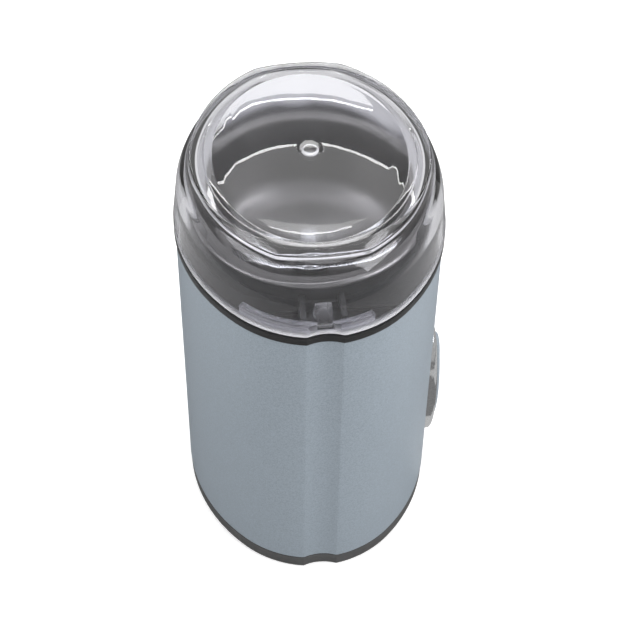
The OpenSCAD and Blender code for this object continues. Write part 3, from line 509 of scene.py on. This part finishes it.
class Grower:
    """A tree of geometry nodes with named sizes, which ends in its material."""

    def __init__(self, name, **sizes):
        self.tree = bpy.data.node_groups.new(name, "GeometryNodeTree")
        self.tree.interface.new_socket("Mesh", in_out="OUTPUT", socket_type="NodeSocketGeometry")
        for size, value in sizes.items():
            kind = "NodeSocketInt" if isinstance(value, int) else "NodeSocketFloat"
            socket = self.tree.interface.new_socket(size, in_out="INPUT", socket_type=kind)
            socket.default_value = value
        self.tree.interface.new_socket("Material", in_out="INPUT",
                                       socket_type="NodeSocketMaterial")
        self.inlet = self.tree.nodes.new("NodeGroupInput")

    def size(self, name):
        """One of the tree's own sizes."""
        return Number(self.tree, self.inlet.outputs[name])

    def add(self, kind, settings=None, **inputs):
        """A node with its inputs by name; gives its first output."""
        node = self.tree.nodes.new(kind)
        for key, value in (settings or {}).items():
            setattr(node, key, value)
        for key, value in inputs.items():
            place = node.inputs[key.replace("_", " ")]
            if isinstance(value, Number):
                self.tree.links.new(value.socket, place)
            elif isinstance(value, bpy.types.NodeSocket):
                self.tree.links.new(value, place)
            else:
                place.default_value = value
        return node.outputs[0]

    def point(self, x, y, z):
        return self.add("ShaderNodeCombineXYZ", X=x, Y=y, Z=z)

    def joined(self, *parts):
        join = self.tree.nodes.new("GeometryNodeJoinGeometry")
        for part in parts:
            self.tree.links.new(part, join.inputs[0])
        return join.outputs[0]

    def closed(self, mesh):
        """Ends the tree: plain mesh in the piece's material."""
        real = self.add("GeometryNodeRealizeInstances", Geometry=mesh)
        made = self.add("GeometryNodeSetMaterial", Geometry=real,
                        Material=self.inlet.outputs["Material"])
        self.tree.links.new(made, self.tree.nodes.new("NodeGroupOutput").inputs[0])
        return self

    def grow(self, name, finish, **sizes):
        """A plain mesh piece, grown with these sizes in place of the tree's own."""
        piece = put(name, bpy.data.meshes.new(name))
        modifier = piece.modifiers.new("grown", "NODES")
        modifier.node_group = self.tree
        for item in self.tree.interface.items_tree:
            if item.in_out == "INPUT" and item.name == "Material":
                modifier[item.identifier] = finish.material
            elif item.in_out == "INPUT":
                modifier[item.identifier] = sizes.get(item.name, item.default_value)
        return settled(piece)


def fluted_reach(tree, across, along, inset):
    """Distance from the axis to the fluted oval, drawn inset, in the tree's own sizes."""
    half_w, half_d = tree.size("Width") / 2, tree.size("Depth") / 2
    end_r, flute_r = tree.size("End_radius"), tree.size("Flute_radius")
    end_y = half_d - end_r
    side_r = (half_w.squared() + end_y.squared() - end_r.squared()) / ((half_w - end_r) * 2)
    side_x = side_r - half_w
    span = (side_x.squared() + end_y.squared()).root()
    join_x = (side_r - inset) * side_x / span - side_x
    join_y = (side_r - inset) * end_y / span
    end = end_y * along + ((end_y * along).squared() - end_y.squared()
                           + (end_r - inset).squared()).root()
    side = ((side_x * across).squared() - side_x.squared()
            + (side_r - inset).squared()).root() - side_x * across
    oval = side + (end - side) * (along * join_x).made("GREATER_THAN", across * join_y)
    centre = half_d - tree.size("Flute_depth") + flute_r
    hit = (centre * along).squared() - centre.squared() + (flute_r + inset).squared()
    missed = hit.made("LESS_THAN", 0.0)
    return oval.made("MINIMUM", centre * along - hit.root() + missed)


def sleeve_tree():
    """A wall swept once round the fluted oval, with its four edges rounded."""
    tree = Grower("fluted_sleeve", Width=WIDTH, Depth=DEPTH, End_radius=END_R,
                  Flute_radius=FLUTE_R, Flute_depth=FLUTE_DEPTH, Wall=1.6 * MM,
                  Bottom=0.0, Height=10 * MM, Edge_radius=0.25 * MM, Points=720)
    turn = Number(tree.tree, tree.add("GeometryNodeSplineParameter")) * (2 * math.pi)
    cosine, sine = turn.made("COSINE"), turn.made("SINE")
    wall = tree.size("Wall")
    reach = fluted_reach(tree, cosine.made("ABSOLUTE"), sine.made("ABSOLUTE"), wall / 2)
    path = tree.add("GeometryNodeCurvePrimitiveCircle", Resolution=tree.size("Points"), Radius=1.0)
    path = tree.add("GeometryNodeSetPosition", Geometry=path,
                    Position=tree.point(cosine * reach, sine * reach,
                                        tree.size("Bottom") + tree.size("Height") / 2))
    path = tree.add("GeometryNodeSetCurveNormal", {"mode": "Z_UP"}, Curve=path)
    profile = tree.add("GeometryNodeCurvePrimitiveQuadrilateral", Width=wall,
                       Height=tree.size("Height"))
    profile = tree.add("GeometryNodeFilletCurve", {"mode": "POLY"}, Curve=profile, Count=3,
                       Radius=tree.size("Edge_radius"))
    return tree.closed(tree.add("GeometryNodeCurveToMesh", Curve=path, Profile_Curve=profile))


def spring_tree():
    """Round wire wound in a helix along Z, from the origin up."""
    tree = Grower("wound_spring", Radius=3 * MM, Wire=0.35 * MM, Length=5 * MM, Turns=5.0)
    wire = tree.size("Wire")
    coil = tree.add("GeometryNodeCurveSpiral", Resolution=28, Rotations=tree.size("Turns"),
                    Start_Radius=tree.size("Radius"), End_Radius=tree.size("Radius"),
                    Height=tree.size("Length") - wire * 2)
    round_wire = tree.add("GeometryNodeCurvePrimitiveCircle", Resolution=10, Radius=wire)
    mesh = tree.add("GeometryNodeCurveToMesh", Curve=coil, Profile_Curve=round_wire,
                    Fill_Caps=True)
    return tree.closed(tree.add("GeometryNodeTransform", Geometry=mesh,
                                Translation=tree.point(0.0, 0.0, wire)))


# The screw's cross recess, core and thread, as shares of its head, shank and length
RECESS_W, RECESS_T, RECESS_SINK = 1.2, 0.4, 0.9
CORE_SHARE, RIDGE_SHARE, THREAD_SHARE = 0.86, 0.16, 0.94
CORE_SINK = 0.1 * MM


def screw_tree():
    """A screw that points up, with a cross recess under its head and a rolled thread."""
    tree = Grower("cross_screw", Head_radius=3 * MM, Head_height=0.8 * MM, Shank=1.5 * MM,
                  Length=8 * MM, Pitch=1 * MM)
    head_r, head_h = tree.size("Head_radius"), tree.size("Head_height")
    shank, length = tree.size("Shank"), tree.size("Length")
    head = tree.add("GeometryNodeMeshCylinder", Vertices=40, Radius=head_r, Depth=head_h)
    head = tree.add("GeometryNodeTransform", Geometry=head,
                    Translation=tree.point(0.0, 0.0, head_h * -0.5))
    slot = tree.add("GeometryNodeMeshCube", Size=tree.point(head_r * RECESS_W,
                                                             shank * RECESS_T, head_h))
    cross = tree.add("GeometryNodeTransform", Geometry=slot, Rotation=(0, 0, math.pi / 2))
    recess = tree.add("GeometryNodeTransform", Geometry=tree.joined(slot, cross),
                      Translation=tree.point(0.0, 0.0, head_h * -RECESS_SINK))
    drive = tree.tree.nodes.new("GeometryNodeMeshBoolean")
    drive.operation = "DIFFERENCE"
    tree.tree.links.new(head, drive.inputs[0])
    tree.tree.links.new(recess, drive.inputs[1])
    core = tree.add("GeometryNodeMeshCylinder", Vertices=24, Radius=shank * CORE_SHARE,
                    Depth=length)
    core = tree.add("GeometryNodeTransform", Geometry=core,
                    Translation=tree.point(0.0, 0.0, length * 0.5 - CORE_SINK))
    root_r, threaded = shank * (1 - RIDGE_SHARE), length * THREAD_SHARE
    turns = tree.add("GeometryNodeCurveSpiral", Resolution=16, Start_Radius=root_r,
                     End_Radius=root_r, Height=threaded, Rotations=threaded / tree.size("Pitch"))
    ridge = tree.add("GeometryNodeCurvePrimitiveCircle", Resolution=3,
                     Radius=shank * RIDGE_SHARE)
    thread = tree.add("GeometryNodeCurveToMesh", Curve=turns, Profile_Curve=ridge, Fill_Caps=True)
    return tree.closed(tree.joined(drive.outputs[0], core, thread))


def placed(piece, places):
    """The piece's mesh repeated at each place, as one mesh."""
    shape = bmesh.new()
    for place in places:
        copy = piece.data.copy()
        copy.transform(place)
        shape.from_mesh(copy)
        bpy.data.meshes.remove(copy)
    bmesh.ops.remove_doubles(shape, verts=shape.verts, dist=1e-7)
    bmesh.ops.recalc_face_normals(shape, faces=shape.faces)
    shape.to_mesh(piece.data)
    shape.free()
    smooth(piece.data)
    return piece


SLEEVE = sleeve_tree()
SPRING = spring_tree()
SCREW = screw_tree()


# ---- The lid, as rings from its lower edge up, over the top and down inside ----

TURN = [2 * math.pi * i / 360 for i in range(360)]


def crest_radius(angle):
    """The crest's outer edge: bowed sides that meet a flatter land at each end."""
    turn = math.degrees(math.atan2(abs(math.sin(angle)), abs(math.cos(angle))))
    bow = max(0.0, (turn - SIDE_BOW_FROM) / SIDE_BOW_OVER) ** 1.4
    side = (CREST_R + CREST_ROUND + SIDE_BOW * bow) / CREST_BLEND
    land = (LAND_REACH + LAND_BOW * ((90 - turn) / LAND_BOW_OVER) ** 2) / CREST_BLEND - 1
    return -CREST_BLEND * math.log(math.exp(-side) + math.exp(-land))


def top_oval(angle, half_w, half_d):
    """Radius of one of the ovals in the lid's top."""
    return 1 / math.hypot(math.cos(angle) / half_w, math.sin(angle) / half_d)


def skirt_radius(angle, rise, wall=0.0, flute=FLUTE_DEPTH):
    """The lid's side at a share of the skirt's height, drawn in by a wall."""
    fade = max(0.0, 1 - rise / FLUTE_FADE) ** 0.6
    return radius_at(angle, wall - LID_PROUD + SKIRT_LEAN * rise, flute * fade)


def shoulder_radius(angle, rise, wall=0.0):
    """The lid's shoulder, from the skirt's top to the crest."""
    lean = SKIRT_LEAN - LID_PROUD
    bow = rise ** 1.25
    side = lean + (WIDTH / 2 - CREST_R - CREST_ROUND - lean) * bow
    end = lean + (DEPTH / 2 - LAND_REACH - lean) * bow
    oval = radius_at(angle, wall, 0, WIDTH - 2 * side, DEPTH - 2 * end, END_R - (side + end) / 2)
    mix = max(0.0, 2 * rise - 1) ** 1.5
    return oval + (crest_radius(angle) - wall - oval) * mix


def brow(angle):
    """Radius of the line where the crest turns down into the hollow."""
    return top_oval(angle, BROW_W, BROW_D)


def lid_outside():
    """Rings of the lid's outer face, from its lower edge to its crest."""
    rings = [ring_of(TURN, LID_LOW.z, lambda a: skirt_radius(a, 0, SKIRT_EDGE)),
             ring_of(TURN, LID_LOW.z + SKIRT_EDGE, lambda a: skirt_radius(a, 0))]
    rings += [ring_of(TURN, LID_LOW.z + SKIRT_H * i / 6, lambda a: skirt_radius(a, i / 6))
              for i in range(1, 6)]
    top = CREST_Z - LAND_DROP
    rings += [ring_of(TURN, SKIRT_TOP + (top - SKIRT_TOP) * i / 12,
                      lambda a: shoulder_radius(a, i / 12)) for i in range(13)]
    for tilt in (15, 30, 45, 60, 75, 90):
        near = math.cos(math.radians(tilt))
        rings.append(ring_of(TURN, top + LAND_DROP * math.sin(math.radians(tilt)),
                             lambda a: brow(a) + (crest_radius(a) - brow(a)) * near))
    return rings


def dome_point(angle, share, under=0.0):
    """A point of the top's dome, at a share of the way out to its oval edge."""
    reach = share * top_oval(angle, DISC_W, DISC_D)
    return Vector((reach * math.cos(angle), reach * math.sin(angle),
                   DOME_Z - DOME_RISE * share ** 2 - under))


def lid_hollow():
    """Rings from the brow in to the oval dome, over the fine steps, and up to the pip."""
    rings = [ring_of(TURN, CREST_Z - drop * MM, lambda a: top_oval(a, half_w * MM, half_d * MM))
             for half_w, half_d, drop in STEPS]
    rings += [[dome_point(a, i / 20) for a in TURN] for i in range(20, 2, -1)]
    rings.append(ring_of(TURN, PIP_FOOT_Z, lambda a: PIP_FOOT_R))
    rings += [ring_of(TURN, DOME_Z + PIP_H * math.sin(math.radians(tilt)),
                      lambda a: PIP_R * math.cos(math.radians(tilt)) ** 0.8 + 1e-6)
              for tilt in (0, 12, 25, 40, 55, 70, 90)]
    return rings


def lid_inside():
    """Rings of the inner face: under the dome, out below the brow and down the skirt."""
    rings = [[dome_point(a, i / 10 + 1e-6, WALL) for a in TURN] for i in range(11)]
    rings.append(ring_of(TURN, INNER_BROW_Z, lambda a: top_oval(a, INNER_BROW_W, INNER_BROW_D)))
    top = CREST_Z - LAND_DROP
    for i in (9, 8, 7, 6, 4, 2, 0):
        rings.append(ring_of(TURN, SKIRT_TOP + (top - SKIRT_TOP) * i / 12,
                             lambda a: shoulder_radius(a, i / 12, WALL * 1.1)))
    rings += [ring_of(TURN, SKIRT_TOP - SKIRT_H * i / 6,
                      lambda a: skirt_radius(a, 1 - i / 6, WALL)) for i in range(1, 7)]
    return rings


def lock_rib():
    """The rib that catches under the collar, round one end of the skirt's inside."""
    outer = END_R - LID_INSET + RIB_SINK
    profile = [(outer, 0.0), (outer, RIB_H), (outer - RIB_T, RIB_H), (outer - RIB_T, 0.0)]
    low = LID_LOW.z + RIB_LIFT
    rings = []
    for step in range(31):
        turn = math.radians(RIB_FROM + RIB_OVER * step / 30)
        rings.append([Vector((r * math.cos(turn), -END_Y + r * math.sin(turn), low + z))
                      for r, z in profile])
    rib = loft("lock_rib", rings)
    cap_ends(rib)
    return rib


def lock_lug():
    """The lug that presses the interlock's pin."""
    return block("lock_lug",
                 (-LUG_HALF_W, -DEPTH / 2 + LID_INSET - LUG_SINK, LID_LOW.z + LUG_LIFT),
                 (LUG_HALF_W, -DEPTH / 2 + LUG_REACH, LID_LOW.z + RIB_H + RIB_LIFT))


def mark_haze_rub_and_highlight(lid):
    """Marks where the plastic is hazy, under the disc, and where it is whitened: a painted
    highlight along the low edge, rubbing on the pip and along the rib.
    """
    haze = lid.data.attributes.new("haze", "FLOAT", "POINT")
    rub_and_highlight = lid.data.attributes.new("rub_and_highlight", "FLOAT", "POINT")
    for vertex, level, whitening in zip(lid.data.vertices, haze.data, rub_and_highlight.data):
        share = math.hypot(vertex.co.x / HAZE_W, vertex.co.y / HAZE_D)
        under = share < 1.0 and DOME_Z - vertex.co.z > WALL * 0.6 + DOME_RISE * share ** 2
        level.value = float(under)
        low_edge = vertex.co.z < LID_LOW.z + LOW_EDGE_H
        on_rib = abs(vertex.co.z - LID_LOW.z - RIB_LIFT - RIB_H) < 0.01 * MM
        on_pip = 0.8 * PIP_R < vertex.co.xy.length < 1.005 * PIP_R and vertex.co.z > DOME_Z
        # The low edge gets the full painted highlight; the pip and the rib get less whitening
        whitening.value = (EDGE_HIGHLIGHT if low_edge else PIP_WEAR if on_pip else
                      RIB_WEAR if on_rib else 0.0)


def make_lid():
    """The clear lid: one shell, with its rib and its lug joined on."""
    lid = loft("lid_shell", lid_outside() + lid_hollow() + lid_inside(), closed=True)
    cut(lid, lock_rib(), "UNION")
    cut(lid, lock_lug(), "UNION")
    mark_haze_rub_and_highlight(lid)
    smooth(lid.data, 60)
    finished(lid, finish_of("lid"), "lid")


make_lid()


# ---- The button: a rounded bezel and a crowned cap ----

BUTTON_Z = (BEZEL_LOW.z + BEZEL_HIGH.z) / 2
BEZEL_W = BEZEL_HIGH.y - BEZEL_LOW.y
BEZEL_H = BEZEL_HIGH.z - BEZEL_LOW.z
BEZEL_END_R = 8.5 * MM
BEZEL_RIM = 3.6 * MM
BEZEL_ROUND, BEZEL_ROUND_H = 1.2 * MM, 1.3 * MM
BEZEL_SINK = 2.5 * MM
CAP_GAP = 0.3 * MM
CAP_ROUND, CAP_ROUND_H = 1.3 * MM, 1.2 * MM
CAP_CROWN = 0.3 * MM
CAP_BACK = CAP_LOW.x + 5 * MM
SIDE_TURN = [2 * math.pi * i / 160 for i in range(160)]


def side_ring(inset, out):
    """A ring of the bezel's oval that stands across X, at the distance out."""
    ring = []
    for a in SIDE_TURN:
        reach = radius_at(a, inset, 0, BEZEL_W, BEZEL_H, BEZEL_END_R)
        ring.append(Vector((out, reach * math.cos(a), BUTTON_Z + reach * math.sin(a))))
    return ring


def make_bezel():
    """A rounded ring: a wide round outside, a small chamfered one beside the cap."""
    top, base = BEZEL_HIGH.x, WIDTH / 2 - BEZEL_SINK
    shoulder = top - BEZEL_ROUND_H
    profile = [(0.0, base), (0.0, shoulder)]
    profile += [(BEZEL_ROUND * (1 - math.cos(math.radians(a))),
                 shoulder + BEZEL_ROUND_H * math.sin(math.radians(a))) for a in (25, 50, 75, 90)]
    profile += [(BEZEL_RIM - 0.9 * MM, top), (BEZEL_RIM - 0.3 * MM, top - 0.3 * MM),
                (BEZEL_RIM, top - 0.9 * MM), (BEZEL_RIM, base)]
    bezel = loft("bezel_ring", [side_ring(i, x) for i, x in profile], closed=True)
    smooth(bezel.data, 50)
    finished(bezel, finish_of("button_bezel"), "button_bezel")


def make_cap():
    """A cap with a rounded edge and a slightly crowned face."""
    edge, front = BEZEL_RIM + CAP_GAP, CAP_HIGH.x
    shoulder = front - CAP_CROWN - CAP_ROUND_H
    rings = [[Vector((CAP_BACK, 0, BUTTON_Z))], side_ring(edge, CAP_BACK),
             side_ring(edge, shoulder)]
    rings += [side_ring(edge + CAP_ROUND * (1 - math.cos(math.radians(a))),
                        shoulder + CAP_ROUND_H * math.sin(math.radians(a)))
              for a in (20, 40, 60, 80)]
    rings += [side_ring(edge + i * MM, front - CAP_CROWN * ((6.9 - i) / 5.6) ** 2)
              for i in (2.2, 3.4, 4.8)]
    rings.append([Vector((front, 0, BUTTON_Z))])
    cap = loft("cap_crown", rings)
    smooth(cap.data, 50)
    finished(cap, finish_of("button_cap"), "button_cap")


# ---- The sleeve, the springs and the screws, from their trees ----

SLEEVE_EDGE = 0.3 * MM
# The holes in the sleeve: the button's, drawn in from the bezel's oval, and the cord's
BUTTON_HOLE_INSET = 3 * MM
BUTTON_HOLE_X = (WIDTH / 2 - 6 * MM, WIDTH / 2 + 3 * MM)
CORD_HOLE_R, CORD_HOLE_L = 4 * MM, 16 * MM
# The pressed springs: node, the body that the far end follows, axis, wire and turns
PRESSED_SPRINGS = (("button_spring", "button", "x", 0.35 * MM, 5.0),
                   ("interlock_spring", "pin", "z", 0.3 * MM, 6.0))
BRUSH_WIRE = 0.35 * MM
# The screws: node, and the radius and height of the head
SCREW_HEADS = (("base_screws", 3.0 * MM, 0.8 * MM), ("bracket_screws", 3.6 * MM, 1.8 * MM))


def make_sleeve():
    """The painted sleeve, with the button's hole and the cord's hole."""
    finish = finish_of("body_shell")
    sleeve = SLEEVE.grow("painted_sleeve", finish, Bottom=SHELL_LOW.z,
                         Height=SHELL_HIGH.z - SHELL_LOW.z, Edge_radius=SLEEVE_EDGE)
    hole = loft("button_hole", [side_ring(BUTTON_HOLE_INSET, x) for x in BUTTON_HOLE_X])
    cap_ends(hole)
    cut(sleeve, hole)
    entry_low, entry_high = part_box("cord_entry")
    middle = Vector((0, DEPTH / 2, (entry_low.z + entry_high.z) / 2))
    cut(sleeve, drum("cord_hole", middle, (0, 1, 0), CORD_HOLE_R, CORD_HOLE_L))
    smooth(sleeve.data, 9)
    finished(sleeve, finish, "body_shell")


def make_springs():
    """Wound springs; the button's and the interlock's run between the two ends of their node's
    box.
    """
    for node, mover, axis, wire, turns in PRESSED_SPRINGS:
        low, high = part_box(node)
        middle = (low + high) / 2
        if axis == "x":
            ends = [Vector((x, middle.y, middle.z)) for x in (low.x, high.x)]
            turn, across = Matrix.Rotation(math.pi / 2, 4, "Y"), high.y - low.y
        else:
            ends = [Vector((middle.x, middle.y, z)) for z in (low.z, high.z)]
            turn, across = Matrix.Identity(4), high.x - low.x
        spring = SPRING.grow("wound_" + node, finish_of(node), Radius=across / 2 - wire,
                             Wire=wire, Length=(ends[1] - ends[0]).length, Turns=turns)
        spring = placed(spring, [Matrix.Translation(ends[0]) @ turn])
        finished(spring, finish_of(node), node, stretch=(mover, *ends))
    low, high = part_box("brush_springs")
    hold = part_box("carbon_brushes")[1].y
    across = high.x - low.x
    spring = SPRING.grow("wound_brush_springs", finish_of("brush_springs"), Wire=BRUSH_WIRE,
                         Radius=across / 2 - BRUSH_WIRE, Length=high.y - hold, Turns=6.0)
    lift = Matrix.Translation((0, 0, (low.z + high.z) / 2))
    places = [lift @ Matrix.Rotation(turn, 4, "Z") @ Matrix.Translation((0, hold, 0))
              @ Matrix.Rotation(-math.pi / 2, 4, "X") for turn in (0, math.pi)]
    finished(placed(spring, places), finish_of("brush_springs"), "brush_springs")


def make_screws():
    """Four screws of each kind, one near each corner of its node's box."""
    for node, head_r, head_h in SCREW_HEADS:
        low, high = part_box(node)
        x, y, seat = high.x - head_r, high.y - head_r, low.z + head_h
        screws = SCREW.grow("threaded_" + node, finish_of(node), Head_radius=head_r,
                            Head_height=head_h, Length=high.z - seat)
        places = [Matrix.Translation((side * x, end * y, seat))
                  for side in (-1, 1) for end in (-1, 1)]
        finished(placed(screws, places), finish_of(node), node)


make_bezel()
make_cap()
make_sleeve()
make_springs()
make_screws()

# ---- Every other piece takes its shape from the frame, with its edges broken ----

OWN_SHAPE = {"lid", "button_bezel", "button_cap", "body_shell", "button_spring",
             "interlock_spring", "brush_springs", "base_screws", "bracket_screws"}
EDGES = {"base_ring": 0.3 * MM, "collar": 0.2 * MM}
FINE_EDGE = 0.12 * MM
for node in sorted(set(SLOT_OF) - OWN_SHAPE):
    dressed(node, finish_of(node), EDGES.get(node, FINE_EDGE))


# ---- Stage ----

# What the studio sends to matt surfaces, and what clear plastic shows of it and of the ceiling
SKY = 0.6
CLEAR_VIEW = 0.72
CEILING_VIEW = 0.12
# What each card sends into reflections
FLOOR_GLOSS = 0.2
PATCH_GLOSS = 0.5
WALL_GLOSS = 0.4
PANEL_GLOSS = 1.8
HEM_GLOSS = 12.0
SKY_GLOSS = 4.0
FAR_GLOSS = 5.5
# Places and widths of the cards, in metres
FLOOR_REACH = 3.0
FLOOR_GLOW, FLOOR_GREY = 0.42, 0.8
PATCH_LIFT = 0.0004
FAR_Y, FAR_FOOT = 3.0, 0.3
FAR_DARK, FAR_LINE, FAR_LINED = 0.075, 0.028, 14
PANEL_Z = 1.45
PANEL_BACK = 0.9
PANEL_HEM = 0.018
# The lit parts of the floor: one at each side, and a near one
FLOOR_PATCH = ((0.07, -0.3), (0.5, -0.4), (0.5, 0.3), (0.12, 0.12), (0.1, -0.1))
NEAR_PATCH = ((0.044, -0.02), (0.07, -0.02), (0.07, 0.1), (0.044, 0.1))
# Turn from +Y and reach of the torn part of the panel's edge
TORN_EDGE = ((-90, 0.9), (-60, 1.0), (-30, 1.12), (-16, 1.18), (-13, 1.195), (-10.9, 1.186),
             (-10.1, 1.223), (-8.1, 1.274), (-7.7, 1.292), (-5.9, 1.311), (-3.2, 1.335),
             (-0.5, 1.359), (2.7, 1.369), (6.2, 1.381), (8.0, 1.386), (12.6, 1.366),
             (16.2, 1.339), (20.3, 1.309), (20.8, 1.338), (21.8, 1.33), (22.4, 1.277),
             (23.1, 1.227), (24.8, 1.248), (28, 1.2), (40, 1.15), (60, 1.1), (90, 1.0))
# The far wall's light part: across and up, along its torn top
WALL_EDGE = ((-1.2, 2.75), (-0.7, 2.75), (-0.39, 2.63), (-0.35, 2.51), (-0.3, 2.47), (-0.29, 2.52),
             (-0.22, 2.42), (-0.12, 2.36), (0.03, 2.33), (0.18, 2.32), (0.33, 2.32),
             (0.49, 2.34), (0.65, 2.39), (0.82, 2.44), (0.73, 2.29), (0.65, 2.19), (0.56, 2.12),
             (0.7, 2.16), (0.95, 2.36), (1.2, 2.5), (1.6, 2.5))
# The skylight: its near and far curves on the ceiling's level
SKYLIGHT = (((-0.107, 0.933), (-0.001, 0.893), (0.097, 0.873), (0.206, 0.88), (0.315, 0.919)),
            ((0.242, 0.871), (0.162, 0.845), (0.078, 0.838), (-0.006, 0.86), (-0.067, 0.893)))


def by_ray(tree, camera, glossy, transmitted, other):
    """One strength for each kind of ray, as a socket."""
    path = tree.nodes.new("ShaderNodeLightPath")
    level = None
    for kind, strength in (("Glossy", glossy), ("Transmission", transmitted), ("Camera", camera)):
        mix = tree.nodes.new("ShaderNodeMix")
        tree.links.new(path.outputs["Is %s Ray" % kind], mix.inputs[0])
        if level:
            tree.links.new(level, mix.inputs[2])
        else:
            mix.inputs[2].default_value = other
        mix.inputs[3].default_value = strength
        level = mix.outputs[0]
    return level


def stage_material(name, glossy, transmitted, other=0.0, camera=0.0, matt=None):
    """A glow of its own for each kind of ray, over a matt surface where one is given."""
    material = bpy.data.materials.new(name)
    material.use_nodes = True
    tree = material.node_tree
    tree.nodes.clear()
    glow = tree.nodes.new("ShaderNodeEmission")
    tree.links.new(by_ray(tree, camera, glossy, transmitted, other), glow.inputs["Strength"])
    surface = glow.outputs[0]
    if matt:
        paper = tree.nodes.new("ShaderNodeBsdfDiffuse")
        paper.inputs["Color"].default_value = (*matt, 1)
        seen = tree.nodes.new("ShaderNodeMixShader")
        tree.links.new(by_ray(tree, 0.0, 1.0, 1.0, 0.0), seen.inputs[0])
        tree.links.new(paper.outputs[0], seen.inputs[1])
        both = tree.nodes.new("ShaderNodeAddShader")
        tree.links.new(seen.outputs[0], both.inputs[0])
        tree.links.new(surface, both.inputs[1])
        surface = both.outputs[0]
    out = tree.nodes.new("ShaderNodeOutputMaterial")
    tree.links.new(surface, out.inputs["Surface"])
    return material


def card(name, corners, material, shown=True):
    """A flat sheet on the stage, by its outline; where it isn't shown, only reflections see it."""
    mesh = bpy.data.meshes.new(name)
    mesh.from_pydata([Vector(c) for c in corners], [], [tuple(range(len(corners)))])
    mesh.materials.append(material)
    sheet = put(name, mesh)
    sheet.visible_camera = sheet.visible_diffuse = shown
    sheet.visible_transmission = sheet.visible_shadow = shown


def make_floor():
    """A pale floor that keeps the object's shadow, with lit parts that only reflections see."""
    light = stage_material("floor_light", PATCH_GLOSS, CLEAR_VIEW, CLEAR_VIEW)
    for name, side, patch in (("floor_light_left", -1, FLOOR_PATCH),
                              ("floor_light_right", 1, FLOOR_PATCH),
                              ("floor_light_near", 1, NEAR_PATCH)):
        card(name, [(side * x, y, PATCH_LIFT) for x, y in patch], light, shown=False)
    corners = [(x * FLOOR_REACH, y * FLOOR_REACH, 0)
               for x, y in ((-1, -1), (1, -1), (1, 1), (-1, 1))]
    card("floor", corners, stage_material("pale_floor", FLOOR_GLOSS, CLEAR_VIEW,
                                          camera=FLOOR_GLOW, matt=(FLOOR_GREY,) * 3))


def make_world():
    """White to the camera, and a plain level of light to everything else."""
    world = bpy.data.worlds.new("studio")
    scene.world = world
    world.use_nodes = True
    back = world.node_tree.nodes["Background"]
    back.inputs["Color"].default_value = (1, 1, 1, 1)
    world.node_tree.links.new(by_ray(world.node_tree, 1.0, WALL_GLOSS, CLEAR_VIEW, SKY),
                              back.inputs["Strength"])


def panel_edge(out=0.0):
    """The ceiling panel's outline: round, with its torn cloth edge, drawn out by a width."""
    edge = [(math.radians(turn), reach) for turn, reach in TORN_EDGE]
    rest = [(edge[-1][0] + (2 * math.pi - edge[-1][0] + edge[0][0]) * i / 24, PANEL_BACK)
            for i in range(1, 24)]
    return [((reach + out) * math.sin(turn), (reach + out) * math.cos(turn), PANEL_Z)
            for turn, reach in edge + rest]


def make_overhead():
    """A bright ceiling panel for reflections, dark to what is seen through clear plastic."""
    card("ceiling_panel", panel_edge(),
         stage_material("panel_cloth", PANEL_GLOSS, CEILING_VIEW, SKY))
    inner, outer = panel_edge(), panel_edge(PANEL_HEM)
    mesh = bpy.data.meshes.new("panel_hem")
    count = len(inner)
    mesh.from_pydata(inner + outer, [], [(i, (i + 1) % count, count + (i + 1) % count, count + i)
                                         for i in range(count)])
    mesh.materials.append(stage_material("panel_hem", HEM_GLOSS, CEILING_VIEW, SKY))
    put("panel_hem", mesh)
    near, far = ([(x, y, PANEL_Z - 0.01) for x, y in side] for side in SKYLIGHT)
    card("skylight", near + far, stage_material("skylight", SKY_GLOSS, CEILING_VIEW, SKY))
    rim = [(x + 0.003, y - 0.009, z) for x, y, z in reversed(far)]
    card("skylight_rim", far + rim, stage_material("skylight_rim", HEM_GLOSS, CEILING_VIEW, SKY))


def make_far_wall():
    """A far wall that only reflections show, light below its torn top and lined there."""
    top = [(x, FAR_Y, z) for x, z in WALL_EDGE]
    light = [(x, FAR_Y, z - FAR_DARK) for x, z in WALL_EDGE]
    card("far_wall", light + [(x, FAR_Y, FAR_FOOT) for x in (WALL_EDGE[-1][0], WALL_EDGE[0][0])],
         stage_material("far_wall", FAR_GLOSS, SKY, SKY))
    top = top[:FAR_LINED]
    low = [(x, y, z - FAR_LINE) for x, y, z in top]
    card("far_wall_line", top + low[::-1],
         stage_material("far_wall_line", HEM_GLOSS, SKY, SKY))


def soft_box(name, place, aim, size, power):
    """A lamp that lights surfaces but shows in no reflection."""
    lamp = bpy.data.lights.new(name, "AREA")
    lamp.shape = "RECTANGLE"
    lamp.size, lamp.size_y = size
    lamp.energy = power
    lit = bpy.data.objects.new(name, lamp)
    lit.location = place
    lit.rotation_euler = (Vector(aim) - Vector(place)).to_track_quat("-Z", "Y").to_euler()
    lit.visible_glossy = False
    scene.collection.objects.link(lit)


make_floor()
make_world()
make_overhead()
make_far_wall()
soft_box("soft_box_right", (0.9, -0.5, 0.7), (0, 0, 0.08), (0.7, 0.9), 12)
soft_box("soft_box_left", (-0.9, -0.3, 0.8), (0, 0, 0.08), (0.6, 0.9), 6)
soft_box("soft_box_top", (0, 0.3, 1.2), (0, 0, 0.1), (0.9, 0.7), 6)

scene.view_settings.view_transform = "Standard"
